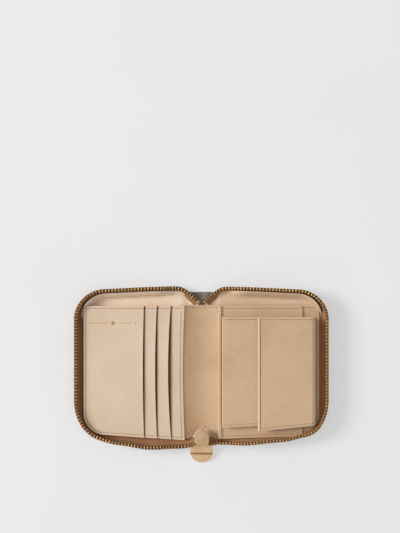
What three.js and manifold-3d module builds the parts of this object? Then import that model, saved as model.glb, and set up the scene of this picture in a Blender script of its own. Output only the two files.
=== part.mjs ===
// A small zip-around bifold wallet, lying open on its outer cover.
// Millimetres. +Z is up, +X runs from the card half to the coin half, +Y points to the
// head edge. The origin is the middle of the spine's underside, where the wallet rests.
// "Head" is the +Y edge, "tail" the -Y edge, "fore" the edge away from the spine.

import * as THREE from "three";
import { mergeVertices } from "three/addons/utils/BufferGeometryUtils.js";
import Module from "manifold-3d";

const wasm = await Module();
wasm.setup();

// ---------------------------------------------------------------- driving dimensions

const CLEAR = 0.3; // kept between neighbouring pieces
const ARC_STEPS = 9; // straight steps in a corner's quarter turn

// Covers and spine
const COVER_REACH = 84.5; // middle of the spine to a cover's fore edge
const COVER_HALF_HEIGHT = 52.6; // middle to the head or tail edge of a cover
const HEAD_CORNER = 17;
const TAIL_CORNER = 30;
const FOLD_X = 10.5; // middle of the spine to a fold line
const FOLD_Z = 2; // height of the fold lines
const COVER_T = 1.2;
const BOARD_T = 0.6;
const LINING_T = 0.5;
const SPINE_LINING_T = 0.4;
const SPINE_PANEL_T = 0.6;
const LINING_INSET = 2.2; // cover edge to the edges of the board and the lining

// Interior panels
const PANEL_FORE_INSET = 2.5; // from the cover's fore edge
const PANEL_HEAD_INSET = 8.4; // from the cover's head edge
const PANEL_TAIL_INSET = 3.5; // from the cover's tail edge, beside the spine
const PANEL_TAIL_RISE = 2.4; // the tail edge rises by this towards the fore corner
const PANEL_TAIL_CORNER = 15;
const PANEL_HEAD_CORNER = 3;
const PANEL_T = 0.8;
const BILL_GAP = 1.2; // free height of the note compartment
const NOTCH_R = 6.2; // arch cut in the spine panel round the zip's tail end

// Card pockets of the left half, each one's mouth towards the spine
const POCKET_T = 0.6;
const POCKET_STEPS = [9.6, 19.3, 28.3]; // panel's inner edge to each mouth

// Card pocket and coin pouch of the right half
const RIGHT_MOUTH_INSET = 11.6; // panel's fore edge to the card pocket's mouth
const RIGHT_HEAD_INSET = 0.6; // panel's head edge to the card pocket's
const BAND_W = 1;
const BAND_T = 1.2;
const POUCH_STEP = 1.3; // card pocket's inner edge to the pouch's
const POUCH_FORE_INSET = 3.2; // panel's fore edge to the pouch's fore wall
const POUCH_HEAD_INSET = 8.9; // panel's head edge to the pouch's
const POUCH_TAIL_INSET = 7.5; // panel's tail edge to the pouch's, beside the spine
const POUCH_TAIL_RISE = 3.4; // the tail edge rises by this towards the fore corner
const POUCH_T = 0.7;
const POUCH_DEPTH = 2.4; // room for coins in the empty pouch
const POUCH_MOUTH_W = 9.3; // front panel's fore edge to the fore wall
const GUSSET_W = 1;
const FLAP_W = 39.7;
const FLAP_TAIL_OVER = 2.2; // the flap's inner corner reaches this far past the pouch
const FLAP_TAIL_RISE = 5;
const FLAP_T = 0.7;
const FLAP_LINING_T = 0.4;
const FLAP_CORNER = 3;

// Press stud
const SNAP_IN = 7.4; // flap's free edge to the stud
const SNAP_Y = -4;
const STUD_BASE_R = 4;
const STUD_POST_R = 1.6;
const STUD_POST_H = 0.9;
const SOCKET_R = 4.5;
const SOCKET_T = 0.9;
const ROUND_STEPS = 24;

// Zip
const TAPE_T = 0.7;
const TAPE_FOOT_INSET = 1.2; // cover edge to the tape's foot
const TAPE_LEAN = 2.6; // how far the tape's top stands out past the cover edge
const TAPE_KNEE = 4.5; // height above the cover at which the tape turns upright
const ROW_GAP = 0.5; // teeth tips to the middle plane when the wallet is closed
const TOOTH_PITCH = 2.25;
const TOOTH_LENGTH = 1.25; // along the row
const TOOTH_T = 2.4; // across the tape
const TOOTH_H = 2.5; // up the tape
const ROW_ROOT = 0.9; // height of the root that joins the teeth
const ROW_STEPS = 60; // straight steps along a row
const ROW_START_STEP = 3.5; // fold line to each row's first tooth
const ROW_LOW_LENGTH = 6; // each row's low stretch beside the spine
const ROW_RISE_LENGTH = 10; // and the stretch on which it rises to its full height
const ROW_LOW_Z = 6.6; // top of the rows beside the spine

// Slider, its bridge and the round pull
const SLIDER_INSET = 4.1; // cover's tail edge to the middle of the slider
const SLIDER_Z = 9; // middle plane of the slider's channel
const SLIDER_LENGTH = 11.4;
const SLIDER_REAR_W = 7; // where its round rear end begins
const SLIDER_REAR_CORNER = 2.4; // length of that round end
const SLIDER_W = 10.4;
const SLIDER_WIDEST = 0.4; // share of its length, from the front, where it is widest
const SLIDER_BOW = 1.2; // how far its front bows out from the shoulders
const SLIDER_PLATE_T = 1.1;
const CHANNEL = 3.2;
const FLANGE_H = 0.6;
const FLANGE_W = 0.8;
const FLANGE_LENGTH = 2.9; // beside the slider's widest part
const FLANGE_START = 1.8; // slider's front to the flanges
const POST_W = 0.5;
const POST_LENGTH = 3.2;
const POST_START = 1; // slider's front to the post
const POST_SUNK = 0.5; // outer face of each plate to the post's ends
const BRIDGE_IN_R = 1.15;
const BRIDGE_T = 1;
const BRIDGE_W = 1.4;
const PULL_R = 8;
const PULL_T = 1.4;
const PULL_PIVOT = 7.2; // disc's centre to the axis of its end bar
const PULL_PIVOT_DROP = 1.25; // below the slider's lower face
const PULL_BAR = 1.1;
const PULL_FLOOR = 0.1; // lowest point of the disc above the table
const GROOVE_W = 1.7;
const GROOVE_DEPTH = 0.3;
const GROOVE_PAST = 0.6; // disc's centre to the groove's near side
const STOP_LENGTH = 1.6;

// Ends of the zip
const TOP_END_NEAR = [2.4, 7.2]; // from the spine's middle line, and from the head edge
const TOP_END_FAR = [6, 2.4];
const TOP_END_H = 2;
const TOP_END_TEETH = 3;
const END_CHAIN_W = 3;
const END_CHAIN_STEP = 2.4; // slider's post to the engaged teeth
const CUT_OVER = 1; // how far a cutting block passes what it cuts

// ---------------------------------------------------------------- sizes that follow

const RIM_Z = FOLD_Z + FOLD_X - ROW_GAP; // top of the teeth
const PANEL_REACH = COVER_REACH - PANEL_FORE_INSET;
const PANEL_HEAD = COVER_HALF_HEIGHT - PANEL_HEAD_INSET;
const PANEL_TAIL_AT_SPINE = COVER_HALF_HEIGHT - PANEL_TAIL_INSET;
const PANEL_TAIL_AT_CORNER = PANEL_TAIL_AT_SPINE - PANEL_TAIL_RISE;
const BOARD_Z = COVER_T + CLEAR;
const LINING_Z = BOARD_Z + BOARD_T + CLEAR;
const LINING_TOP = LINING_Z + LINING_T;
const BASE_Z = LINING_TOP + BILL_GAP;
const BASE_TOP = BASE_Z + PANEL_T;
const SPINE_LINING_Z = COVER_T + CLEAR;
const SPINE_PANEL_Z = SPINE_LINING_Z + SPINE_LINING_T + CLEAR;
const SPINE_TOP = SPINE_PANEL_Z + SPINE_PANEL_T;
// Layers of a half start here, so that they clear the spine's stack when it is closed.
const LAYER_START = FOLD_X + SPINE_TOP - FOLD_Z + CLEAR;
const POCKET_MOUTHS = POCKET_STEPS.map((step) => LAYER_START + step);
const RIGHT_POCKET_INNER = LAYER_START + BAND_W + CLEAR;
const RIGHT_POCKET_MOUTH = PANEL_REACH - RIGHT_MOUTH_INSET;
const RIGHT_POCKET_HEAD = PANEL_HEAD - RIGHT_HEAD_INSET;
const RIGHT_POCKET_Z = BASE_TOP + CLEAR;
const POUCH_INNER = RIGHT_POCKET_INNER + POUCH_STEP;
const POUCH_OUTER = PANEL_REACH - POUCH_FORE_INSET;
const POUCH_MOUTH = POUCH_OUTER - POUCH_MOUTH_W;
const POUCH_HEAD = PANEL_HEAD - POUCH_HEAD_INSET;
const POUCH_TAIL_INNER = PANEL_TAIL_AT_SPINE - POUCH_TAIL_INSET;
const POUCH_TAIL_FORE = POUCH_TAIL_INNER - POUCH_TAIL_RISE;
const FLAP_INNER = POUCH_OUTER - FLAP_W;
const FLAP_TAIL_INNER = POUCH_TAIL_INNER + FLAP_TAIL_OVER;
const FLAP_TAIL_FORE = FLAP_TAIL_INNER - FLAP_TAIL_RISE;
const SNAP_X = FLAP_INNER + SNAP_IN;
const POUCH_BACK_Z = RIGHT_POCKET_Z + POCKET_T + CLEAR;
const POUCH_FLOOR = POUCH_BACK_Z + POUCH_T;
const POUCH_FRONT_Z = POUCH_FLOOR + POUCH_DEPTH;
const POUCH_TOP = POUCH_FRONT_Z + POUCH_T;
const SOCKET_Z = POUCH_TOP + CLEAR;
const FLAP_Z = SOCKET_Z + SOCKET_T + CLEAR;
const FLAP_LINING_Z = FLAP_Z - CLEAR - FLAP_LINING_T;
const ROW_START = FOLD_X + ROW_START_STEP;
const ROW_DIP_START = ROW_START + ROW_LOW_LENGTH;
const ROW_DIP_END = ROW_DIP_START + ROW_RISE_LENGTH;
const SLIDER_Y = SLIDER_INSET - COVER_HALF_HEIGHT;
const SLIDER_HALF_T = CHANNEL / 2 + SLIDER_PLATE_T;
const SLIDER_REAR_Y = SLIDER_Y + SLIDER_LENGTH / 2;
const SLIDER_FRONT_Y = SLIDER_Y - SLIDER_LENGTH / 2;
const BRIDGE_OUT_R = BRIDGE_IN_R + BRIDGE_T;
const BRIDGE_TOP_Z = SLIDER_Z - SLIDER_HALF_T - CLEAR;
const PIVOT_Y = SLIDER_FRONT_Y + BRIDGE_OUT_R + CLEAR;
const PIVOT_Z = SLIDER_Z - SLIDER_HALF_T - PULL_PIVOT_DROP;
const TOP_END_Z = SPINE_TOP + CLEAR;
const END_CHAIN_FRONT = SLIDER_FRONT_Y + POST_LENGTH + END_CHAIN_STEP;
const END_CHAIN_REAR = SLIDER_REAR_Y - STOP_LENGTH - CLEAR;
const END_CHAIN_T = CHANNEL - 2 * CLEAR;

// ---------------------------------------------------------------- finishes

function finish(color, roughness, metalness) {
  return () => new THREE.MeshStandardMaterial({ color, roughness, metalness });
}

const coatedCanvas = finish(0x6f6358, 0.7, 0);
const palerLeather = finish(0xdcc2a8, 0.55, 0);
const deeperLeather = finish(0xc9a988, 0.55, 0);
const liningLeather = finish(0xcdae8e, 0.6, 0);
const greyBoard = finish(0x9a948a, 0.9, 0);
const tanTape = finish(0x9c6b45, 0.85, 0);
const brass = finish(0xc39a55, 0.35, 0.9);
const paleGold = finish(0xd8b48c, 0.3, 0.9);

// ---------------------------------------------------------------- making solids

// A closed geometry as a manifold-3d solid.
function solid(geometry) {
  const bare = geometry.index ? geometry.toNonIndexed() : geometry.clone();
  bare.deleteAttribute("normal");
  bare.deleteAttribute("uv");
  const merged = mergeVertices(bare, 1e-4);
  const mesh = new wasm.Mesh({
    numProp: 3,
    vertProperties: merged.attributes.position.array,
    triVerts: new Uint32Array(merged.index.array),
  });
  return new wasm.Manifold(mesh);
}

// A solid back as a flat-shaded geometry.
function geometryOf(made) {
  const mesh = made.getMesh();
  const geometry = new THREE.BufferGeometry();
  geometry.setAttribute("position", new THREE.BufferAttribute(mesh.vertProperties, 3));
  geometry.setIndex(new THREE.BufferAttribute(mesh.triVerts, 1));
  const faceted = geometry.toNonIndexed();
  faceted.computeVertexNormals();
  return faceted;
}

// A flat piece of the given outline, lying from z upwards.
function sheet(outline, z, thickness) {
  const options = { depth: thickness, bevelEnabled: false, curveSegments: ARC_STEPS };
  return new THREE.ExtrudeGeometry(outline, options).translate(0, 0, z);
}

// A box between two corners.
function block(low, high) {
  const size = high.map((value, axis) => value - low[axis]);
  const middle = high.map((value, axis) => (value + low[axis]) / 2);
  return new THREE.BoxGeometry(...size).translate(...middle);
}

// An upright round bar from z upwards.
function disc(x, y, z, radius, height) {
  const upright = new THREE.CylinderGeometry(radius, radius, height, ROUND_STEPS);
  return upright.rotateX(Math.PI / 2).translate(x, y, z + height / 2);
}

// ---------------------------------------------------------------- outlines

// A straight-sided outline with the given corner radius.
function rectangle(x0, y0, x1, y1, corner) {
  const outline = new THREE.Shape();
  outline.moveTo(x0 + corner, y0);
  outline.lineTo(x1 - corner, y0);
  outline.absarc(x1 - corner, y0 + corner, corner, -Math.PI / 2, 0);
  outline.lineTo(x1, y1 - corner);
  outline.absarc(x1 - corner, y1 - corner, corner, 0, Math.PI / 2);
  outline.lineTo(x0 + corner, y1);
  outline.absarc(x0 + corner, y1 - corner, corner, Math.PI / 2, Math.PI);
  outline.lineTo(x0, y0 + corner);
  outline.absarc(x0 + corner, y0 + corner, corner, Math.PI, 1.5 * Math.PI);
  return outline;
}

// The edge of a right-hand cover, moved in by an inset, from its tail end to its head end.
function coverEdge(start, inset) {
  const reach = COVER_REACH - inset;
  const height = COVER_HALF_HEIGHT - inset;
  const tail = TAIL_CORNER - inset;
  const head = HEAD_CORNER - inset;
  const edge = new THREE.Path();
  edge.moveTo(start, -height);
  edge.lineTo(reach - tail, -height);
  edge.absarc(reach - tail, -height + tail, tail, -Math.PI / 2, 0);
  edge.lineTo(reach, height - head);
  edge.absarc(reach - head, height - head, head, 0, Math.PI / 2);
  edge.lineTo(start, height);
  return edge;
}

// The edge of a right-hand interior panel that starts at the given distance.
function panelEdge(start, head) {
  const tailX = PANEL_REACH - PANEL_TAIL_CORNER;
  const slope = (PANEL_TAIL_AT_SPINE - PANEL_TAIL_AT_CORNER) / (tailX - LAYER_START);
  const edge = new THREE.Path();
  edge.moveTo(start, -PANEL_TAIL_AT_SPINE + slope * (start - LAYER_START));
  edge.lineTo(tailX, -PANEL_TAIL_AT_CORNER);
  const tailY = -PANEL_TAIL_AT_CORNER + PANEL_TAIL_CORNER;
  edge.absarc(tailX, tailY, PANEL_TAIL_CORNER, -Math.PI / 2, 0);
  edge.lineTo(PANEL_REACH, head - PANEL_HEAD_CORNER);
  const headX = PANEL_REACH - PANEL_HEAD_CORNER;
  edge.absarc(headX, head - PANEL_HEAD_CORNER, PANEL_HEAD_CORNER, 0, Math.PI / 2);
  edge.lineTo(start, head);
  return edge;
}

// A plain rectangle about the origin.
function rectangleAbout(width, height) {
  const corners = [[-1, -1], [1, -1], [1, 1], [-1, 1]];
  return new THREE.Shape(corners.map(([x, y]) =>
    new THREE.Vector2(x * width / 2, y * height / 2)));
}

// A right-hand edge as an outline on one side: side is 1 for right and -1 for left.
function outlineOn(side, edge) {
  const points = edge.getPoints(ARC_STEPS);
  return new THREE.Shape(points.map((point) => new THREE.Vector2(side * point.x, point.y)));
}

// ---------------------------------------------------------------- spine

function outerSpine() {
  const half = FOLD_X - CLEAR;
  const height = COVER_HALF_HEIGHT;
  return sheet(rectangle(-half, -height, half, height, CLEAR), 0, COVER_T);
}

function spineLining() {
  const half = FOLD_X - CLEAR;
  const height = COVER_HALF_HEIGHT - LINING_INSET;
  const outline = rectangle(-half, -height, half, height, CLEAR);
  return sheet(outline, SPINE_LINING_Z, SPINE_LINING_T);
}

// The leather between the halves, with an arch at its tail for the end of the zip.
function spinePanel() {
  const half = FOLD_X - CLEAR;
  const archCentre = SLIDER_REAR_Y + CLEAR - NOTCH_R;
  const outline = new THREE.Shape();
  outline.moveTo(-half, PANEL_HEAD);
  outline.lineTo(-half, -PANEL_TAIL_AT_SPINE);
  outline.lineTo(-NOTCH_R, -PANEL_TAIL_AT_SPINE);
  outline.lineTo(-NOTCH_R, archCentre);
  outline.absarc(0, archCentre, NOTCH_R, Math.PI, 0, true);
  outline.lineTo(NOTCH_R, -PANEL_TAIL_AT_SPINE);
  outline.lineTo(half, -PANEL_TAIL_AT_SPINE);
  outline.lineTo(half, PANEL_HEAD);
  return sheet(outline, SPINE_PANEL_Z, SPINE_PANEL_T);
}

// ---------------------------------------------------------------- cover layers of a half

function outerCover(side) {
  const edge = coverEdge(FOLD_X + CLEAR, 0);
  return sheet(outlineOn(side, edge), 0, COVER_T);
}

function coverBoard(side) {
  const edge = coverEdge(LAYER_START, LINING_INSET);
  return sheet(outlineOn(side, edge), BOARD_Z, BOARD_T);
}

function coverLining(side) {
  const edge = coverEdge(LAYER_START, LINING_INSET);
  return sheet(outlineOn(side, edge), LINING_Z, LINING_T);
}

function basePanel(side) {
  const edge = panelEdge(LAYER_START, PANEL_HEAD);
  return sheet(outlineOn(side, edge), BASE_Z, PANEL_T);
}

function leftCardPocket(level) {
  const edge = panelEdge(POCKET_MOUTHS[level], PANEL_HEAD);
  const z = BASE_TOP + CLEAR + level * (POCKET_T + CLEAR);
  return sheet(outlineOn(-1, edge), z, POCKET_T);
}

// ---------------------------------------------------------------- coin half

function rightCardPocket() {
  const base = solid(sheet(outlineOn(1, panelEdge(RIGHT_POCKET_INNER, RIGHT_POCKET_HEAD)),
    RIGHT_POCKET_Z, POCKET_T));
  const beyondMouth = block([RIGHT_POCKET_MOUTH, -COVER_HALF_HEIGHT, BASE_TOP],
    [COVER_REACH, COVER_HALF_HEIGHT, POUCH_BACK_Z]);
  return geometryOf(base.subtract(solid(beyondMouth)));
}

// The narrow folded band that binds the inner edge of the pockets.
function edgeBand() {
  return block([LAYER_START, -PANEL_TAIL_AT_CORNER, RIGHT_POCKET_Z],
    [RIGHT_POCKET_INNER - CLEAR, RIGHT_POCKET_HEAD, RIGHT_POCKET_Z + BAND_T]);
}

// A pouch or flap outline whose tail edge rises evenly from the inner to the fore edge.
function tapered(inner, fore, head, tailInner, tailFore) {
  const corner = FLAP_CORNER;
  const rise = (tailInner - tailFore) / (fore - inner);
  const foreTail = -tailInner + rise * (fore - corner - inner);
  const outline = new THREE.Shape();
  outline.moveTo(inner, -tailInner);
  outline.lineTo(fore - corner, foreTail);
  outline.quadraticCurveTo(fore, -tailFore, fore, -tailFore + corner);
  outline.lineTo(fore, head - corner);
  outline.absarc(fore - corner, head - corner, corner, 0, Math.PI / 2);
  outline.lineTo(inner, head);
  return outline;
}

function pouchBack() {
  const outline = tapered(POUCH_INNER, POUCH_OUTER, POUCH_HEAD, POUCH_TAIL_INNER,
    POUCH_TAIL_FORE);
  return sheet(outline, POUCH_BACK_Z, POUCH_T);
}

// How far the pouch's tail edge lies from the middle at this distance from the spine.
function pouchTailAt(x) {
  const share = (x - POUCH_INNER) / (POUCH_OUTER - POUCH_INNER);
  return POUCH_TAIL_INNER + share * (POUCH_TAIL_FORE - POUCH_TAIL_INNER);
}

// The fore wall that the flap hinges on, standing on the pouch's back.
function pouchWall() {
  return block([POUCH_OUTER - POUCH_T, -POUCH_TAIL_FORE + FLAP_CORNER, POUCH_FLOOR + CLEAR],
    [POUCH_OUTER, POUCH_HEAD - FLAP_CORNER, POUCH_TOP]);
}

// A folded gusset that closes the pouch at its head or its tail, along the given line.
function pouchGusset(from, to) {
  const along = to.clone().sub(from);
  const height = POUCH_DEPTH - 2 * CLEAR;
  const strip = new THREE.BoxGeometry(along.length(), GUSSET_W, height);
  strip.rotateZ(Math.atan2(along.y, along.x));
  const middle = from.clone().add(to).multiplyScalar(0.5);
  return strip.translate(middle.x, middle.y, POUCH_FLOOR + CLEAR + height / 2);
}

function headGusset() {
  const y = POUCH_HEAD - CLEAR - GUSSET_W / 2;
  const inner = POUCH_INNER + CLEAR;
  return pouchGusset(new THREE.Vector2(inner, y), new THREE.Vector2(POUCH_MOUTH, y));
}

function tailGusset() {
  const lift = CLEAR + GUSSET_W / 2;
  const inner = POUCH_INNER + CLEAR;
  return pouchGusset(new THREE.Vector2(inner, -pouchTailAt(inner) + lift),
    new THREE.Vector2(POUCH_MOUTH, -pouchTailAt(POUCH_MOUTH) + lift));
}

// The front panel, with a hole for the stud's base.
function pouchFront() {
  const outline = tapered(POUCH_INNER, POUCH_MOUTH, POUCH_HEAD, POUCH_TAIL_INNER,
    pouchTailAt(POUCH_MOUTH));
  const hole = new THREE.Path();
  hole.absarc(SNAP_X, SNAP_Y, STUD_BASE_R + CLEAR, 0, 2 * Math.PI, true);
  outline.holes.push(hole);
  return sheet(outline, POUCH_FRONT_Z, POUCH_T);
}

function snapStud() {
  const base = solid(disc(SNAP_X, SNAP_Y, POUCH_FRONT_Z, STUD_BASE_R, POUCH_T));
  const post = solid(disc(SNAP_X, SNAP_Y, POUCH_FRONT_Z, STUD_POST_R, POUCH_T + STUD_POST_H));
  return geometryOf(base.add(post));
}

function flapOutline(inset) {
  return tapered(FLAP_INNER + inset, POUCH_OUTER - inset, POUCH_HEAD - inset,
    FLAP_TAIL_INNER - inset, FLAP_TAIL_FORE - inset);
}

function flapOuter() {
  return sheet(flapOutline(0), FLAP_Z, FLAP_T);
}

function flapLining() {
  const outline = flapOutline(CLEAR);
  const hole = new THREE.Path();
  hole.absarc(SNAP_X, SNAP_Y, SOCKET_R + CLEAR, 0, 2 * Math.PI, true);
  outline.holes.push(hole);
  return sheet(outline, FLAP_LINING_Z, FLAP_LINING_T);
}

// The socket in the flap: a cup that opens downwards over the stud's post.
function snapSocket() {
  const cup = solid(disc(SNAP_X, SNAP_Y, SOCKET_Z, SOCKET_R, SOCKET_T));
  const recess = disc(SNAP_X, SNAP_Y, POUCH_TOP, STUD_POST_R + CLEAR, STUD_POST_H + CLEAR);
  return geometryOf(cup.subtract(solid(recess)));
}

// ---------------------------------------------------------------- zip rows

// Height to take off the row at this distance from the spine's middle line.
function dipAt(distance) {
  const along = (ROW_DIP_END - distance) / (ROW_DIP_END - ROW_DIP_START);
  return THREE.MathUtils.clamp(along, 0, 1) * (RIM_Z - ROW_LOW_Z);
}

// The row's middle line on one side, clockwise seen from above, at its full height.
class RowCurve extends THREE.Curve {
  constructor(side) {
    super();
    this.side = side;
    this.flat = coverEdge(ROW_START, -TAPE_LEAN);
  }

  getPoint(share, target = new THREE.Vector3()) {
    const forward = this.side > 0 ? 1 - share : share;
    const point = this.flat.getPoint(forward);
    const z = RIM_Z - TOOTH_H / 2 - dipAt(point.x);
    return target.set(this.side * point.x, point.y, z);
  }
}

// The tape's foot line on one side, at the cover's edge, clockwise seen from above.
class FootCurve extends RowCurve {
  constructor(side) {
    super(side);
    this.flat = coverEdge(ROW_START, 0);
  }

  getPoint(share, target = new THREE.Vector3()) {
    return super.getPoint(share, target).setZ(0);
  }
}

// The section of the tape: first value is the way out past the cover edge, then height.
function tapeSection() {
  const foot = BOARD_Z;
  const knee = COVER_T + TAPE_KNEE;
  const top = RIM_Z - TOOTH_H - CLEAR;
  const half = TAPE_T / 2;
  const inner = [[-TAPE_FOOT_INSET - half, foot], [TAPE_LEAN - 2 * half, knee],
    [TAPE_LEAN - half, top]];
  const outer = [[TAPE_LEAN + half, top], [TAPE_LEAN, knee], [-TAPE_FOOT_INSET + half, foot]];
  // An extrusion along a level path has its first axis pointing down.
  const corners = [...inner, ...outer].map(([out, z]) => new THREE.Vector2(-z, out));
  return new THREE.Shape(corners);
}

// The standing strip of tape, cut down beside the spine where the row dips.
function zipTape(side) {
  const path = new FootCurve(side);
  const wall = new THREE.ExtrudeGeometry(tapeSection(),
    { steps: ROW_STEPS, bevelEnabled: false, extrudePath: path });
  const low = ROW_LOW_Z - TOOTH_H - CLEAR;
  const full = RIM_Z - TOOTH_H - CLEAR;
  const profile = new THREE.Shape();
  profile.moveTo(0, low);
  profile.lineTo(ROW_DIP_START + TOOTH_LENGTH, low);
  profile.lineTo(ROW_DIP_END + TOOTH_LENGTH, full);
  profile.lineTo(ROW_DIP_END + TOOTH_LENGTH, RIM_Z + CUT_OVER);
  profile.lineTo(0, RIM_Z + CUT_OVER);
  const length = 2 * (COVER_HALF_HEIGHT + TAPE_LEAN + TAPE_T + CUT_OVER);
  const cutter = new THREE.ExtrudeGeometry(profile, { depth: length, bevelEnabled: false });
  cutter.rotateX(Math.PI / 2).translate(0, length / 2, 0);
  if (side < 0) cutter.rotateZ(Math.PI);
  return geometryOf(solid(wall).subtract(solid(cutter)));
}

// The space between two teeth, centred on the row at a share of its length.
function toothGap(curve, share) {
  const place = curve.getPointAt(share);
  const along = curve.getTangentAt(share).setZ(0).normalize();
  const turn = Math.atan2(along.y, along.x);
  const gap = new THREE.BoxGeometry(TOOTH_PITCH - TOOTH_LENGTH, 2 * TOOTH_T, TOOTH_H);
  return gap.rotateZ(turn).translate(place.x, place.y, place.z + ROW_ROOT);
}

// A row of teeth on their root, as one solid: a bar along the row, cut between the teeth.
function zipChain(side) {
  const curve = new RowCurve(side);
  curve.arcLengthDivisions = 800;
  const section = rectangleAbout(TOOTH_H, TOOTH_T);
  let row = solid(new THREE.ExtrudeGeometry(section,
    { steps: ROW_STEPS, bevelEnabled: false, extrudePath: curve }));
  const count = Math.floor(curve.getLength() / TOOTH_PITCH);
  // The right row stands half a pitch further on, so that the rows would interleave.
  const shift = 0.5 + side / 4;
  for (let i = 0; i < count; i += 1) {
    row = row.subtract(solid(toothGap(curve, (i + shift) / count)));
  }
  return geometryOf(row);
}

// ---------------------------------------------------------------- ends of the zip

// At the head the rows turn down into the spine: a short run of teeth on each side.
function topEndPoint(side, [across, below]) {
  return new THREE.Vector2(side * across, COVER_HALF_HEIGHT - below);
}

function topEndFrame(side) {
  const from = topEndPoint(side, TOP_END_NEAR);
  const along = topEndPoint(side, TOP_END_FAR).sub(from);
  return { from, turn: Math.atan2(along.y, along.x), length: along.length() };
}

// A bar on the line of a top end, between two distances along it.
function topEndBar(side, start, stop, width, height) {
  const { from, turn } = topEndFrame(side);
  const bar = new THREE.BoxGeometry(stop - start, width, height);
  bar.translate((start + stop) / 2, 0, TOP_END_Z + height / 2);
  return bar.rotateZ(turn).translate(from.x, from.y, 0);
}

function zipTopEnd(side) {
  const { length } = topEndFrame(side);
  const first = STOP_LENGTH / 2 + CLEAR;
  const pitch = (length - first - TOOTH_LENGTH) / (TOP_END_TEETH - 1);
  let row = solid(topEndBar(side, first, length, TOOTH_T / 2, ROW_ROOT));
  for (let i = 0; i < TOP_END_TEETH; i += 1) {
    const start = first + i * pitch;
    row = row.add(solid(topEndBar(side, start, start + TOOTH_LENGTH, TOOTH_T, TOP_END_H)));
  }
  return geometryOf(row);
}

function zipTopStop(side) {
  return topEndBar(side, -STOP_LENGTH / 2, STOP_LENGTH / 2, TOOTH_T, TOP_END_H);
}

// The run of engaged teeth in the slider's channel when the zip is fully open.
function zipChainEnd() {
  const core = [[-ROW_ROOT, END_CHAIN_FRONT, SLIDER_Z - ROW_ROOT],
    [ROW_ROOT, END_CHAIN_REAR, SLIDER_Z + ROW_ROOT]];
  let row = solid(block(...core));
  const length = END_CHAIN_REAR - END_CHAIN_FRONT;
  const count = Math.max(1, Math.floor(length / TOOTH_PITCH));
  const half = [END_CHAIN_W / 2, END_CHAIN_T / 2];
  for (let i = 0; i < count; i += 1) {
    const y = END_CHAIN_FRONT + (i + 0.5) * length / count;
    row = row.add(solid(block([-half[0], y - TOOTH_LENGTH / 2, SLIDER_Z - half[1]],
      [half[0], y + TOOTH_LENGTH / 2, SLIDER_Z + half[1]])));
  }
  return geometryOf(row);
}

function zipBottomStop() {
  const half = [END_CHAIN_W / 2, END_CHAIN_T / 2];
  return block([-half[0], END_CHAIN_REAR + CLEAR, SLIDER_Z - half[1]],
    [half[0], END_CHAIN_REAR + CLEAR + STOP_LENGTH, SLIDER_Z + half[1]]);
}

// ---------------------------------------------------------------- slider and pull

// The slider's plan: round at the rear, wide at the shoulders, bowed in front.
function sliderOutline(inset) {
  const rear = SLIDER_REAR_W / 2 - inset;
  const wide = SLIDER_W / 2 - inset;
  const back = SLIDER_REAR_Y - inset;
  const side = back - SLIDER_REAR_CORNER;
  const front = SLIDER_FRONT_Y + inset;
  const shoulder = SLIDER_FRONT_Y + SLIDER_WIDEST * SLIDER_LENGTH;
  const bowed = front + SLIDER_BOW / 2;
  const outline = new THREE.Shape();
  outline.moveTo(-rear, side);
  outline.bezierCurveTo(-(rear + wide) / 2, side, -wide, SLIDER_Y, -wide, shoulder);
  outline.quadraticCurveTo(-wide, bowed, 0, front);
  outline.quadraticCurveTo(wide, bowed, wide, shoulder);
  outline.bezierCurveTo(wide, SLIDER_Y, (rear + wide) / 2, side, rear, side);
  outline.quadraticCurveTo(rear / 2, back, 0, back);
  outline.quadraticCurveTo(-rear / 2, back, -rear, side);
  return outline;
}

// Flanges along the slider's sides keep the teeth in; the tape runs out between them.
function sliderFlange(z) {
  const ring = solid(sheet(sliderOutline(0), z, FLANGE_H));
  const inside = solid(sheet(sliderOutline(FLANGE_W), z - CUT_OVER, FLANGE_H + 2 * CUT_OVER));
  const start = SLIDER_FRONT_Y + FLANGE_START;
  const keep = block([-SLIDER_W, start, z - CUT_OVER],
    [SLIDER_W, start + FLANGE_LENGTH, z + FLANGE_H + CUT_OVER]);
  return ring.subtract(inside).intersect(solid(keep));
}

function sliderPost() {
  const tip = SLIDER_FRONT_Y + POST_START;
  const outline = new THREE.Shape();
  outline.moveTo(0, tip);
  outline.lineTo(POST_W / 2, tip + POST_LENGTH / 3);
  outline.lineTo(0, tip + POST_LENGTH);
  outline.lineTo(-POST_W / 2, tip + POST_LENGTH / 3);
  const low = SLIDER_Z - SLIDER_HALF_T + POST_SUNK;
  return solid(sheet(outline, low, 2 * (SLIDER_HALF_T - POST_SUNK)));
}

function sliderBody() {
  const low = SLIDER_Z - SLIDER_HALF_T;
  const high = SLIDER_Z + CHANNEL / 2;
  let body = solid(sheet(sliderOutline(0), low, SLIDER_PLATE_T));
  body = body.add(solid(sheet(sliderOutline(0), high, SLIDER_PLATE_T)));
  body = body.add(sliderFlange(SLIDER_Z - CHANNEL / 2));
  body = body.add(sliderFlange(high - FLANGE_H));
  return geometryOf(body.add(sliderPost()));
}

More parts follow.
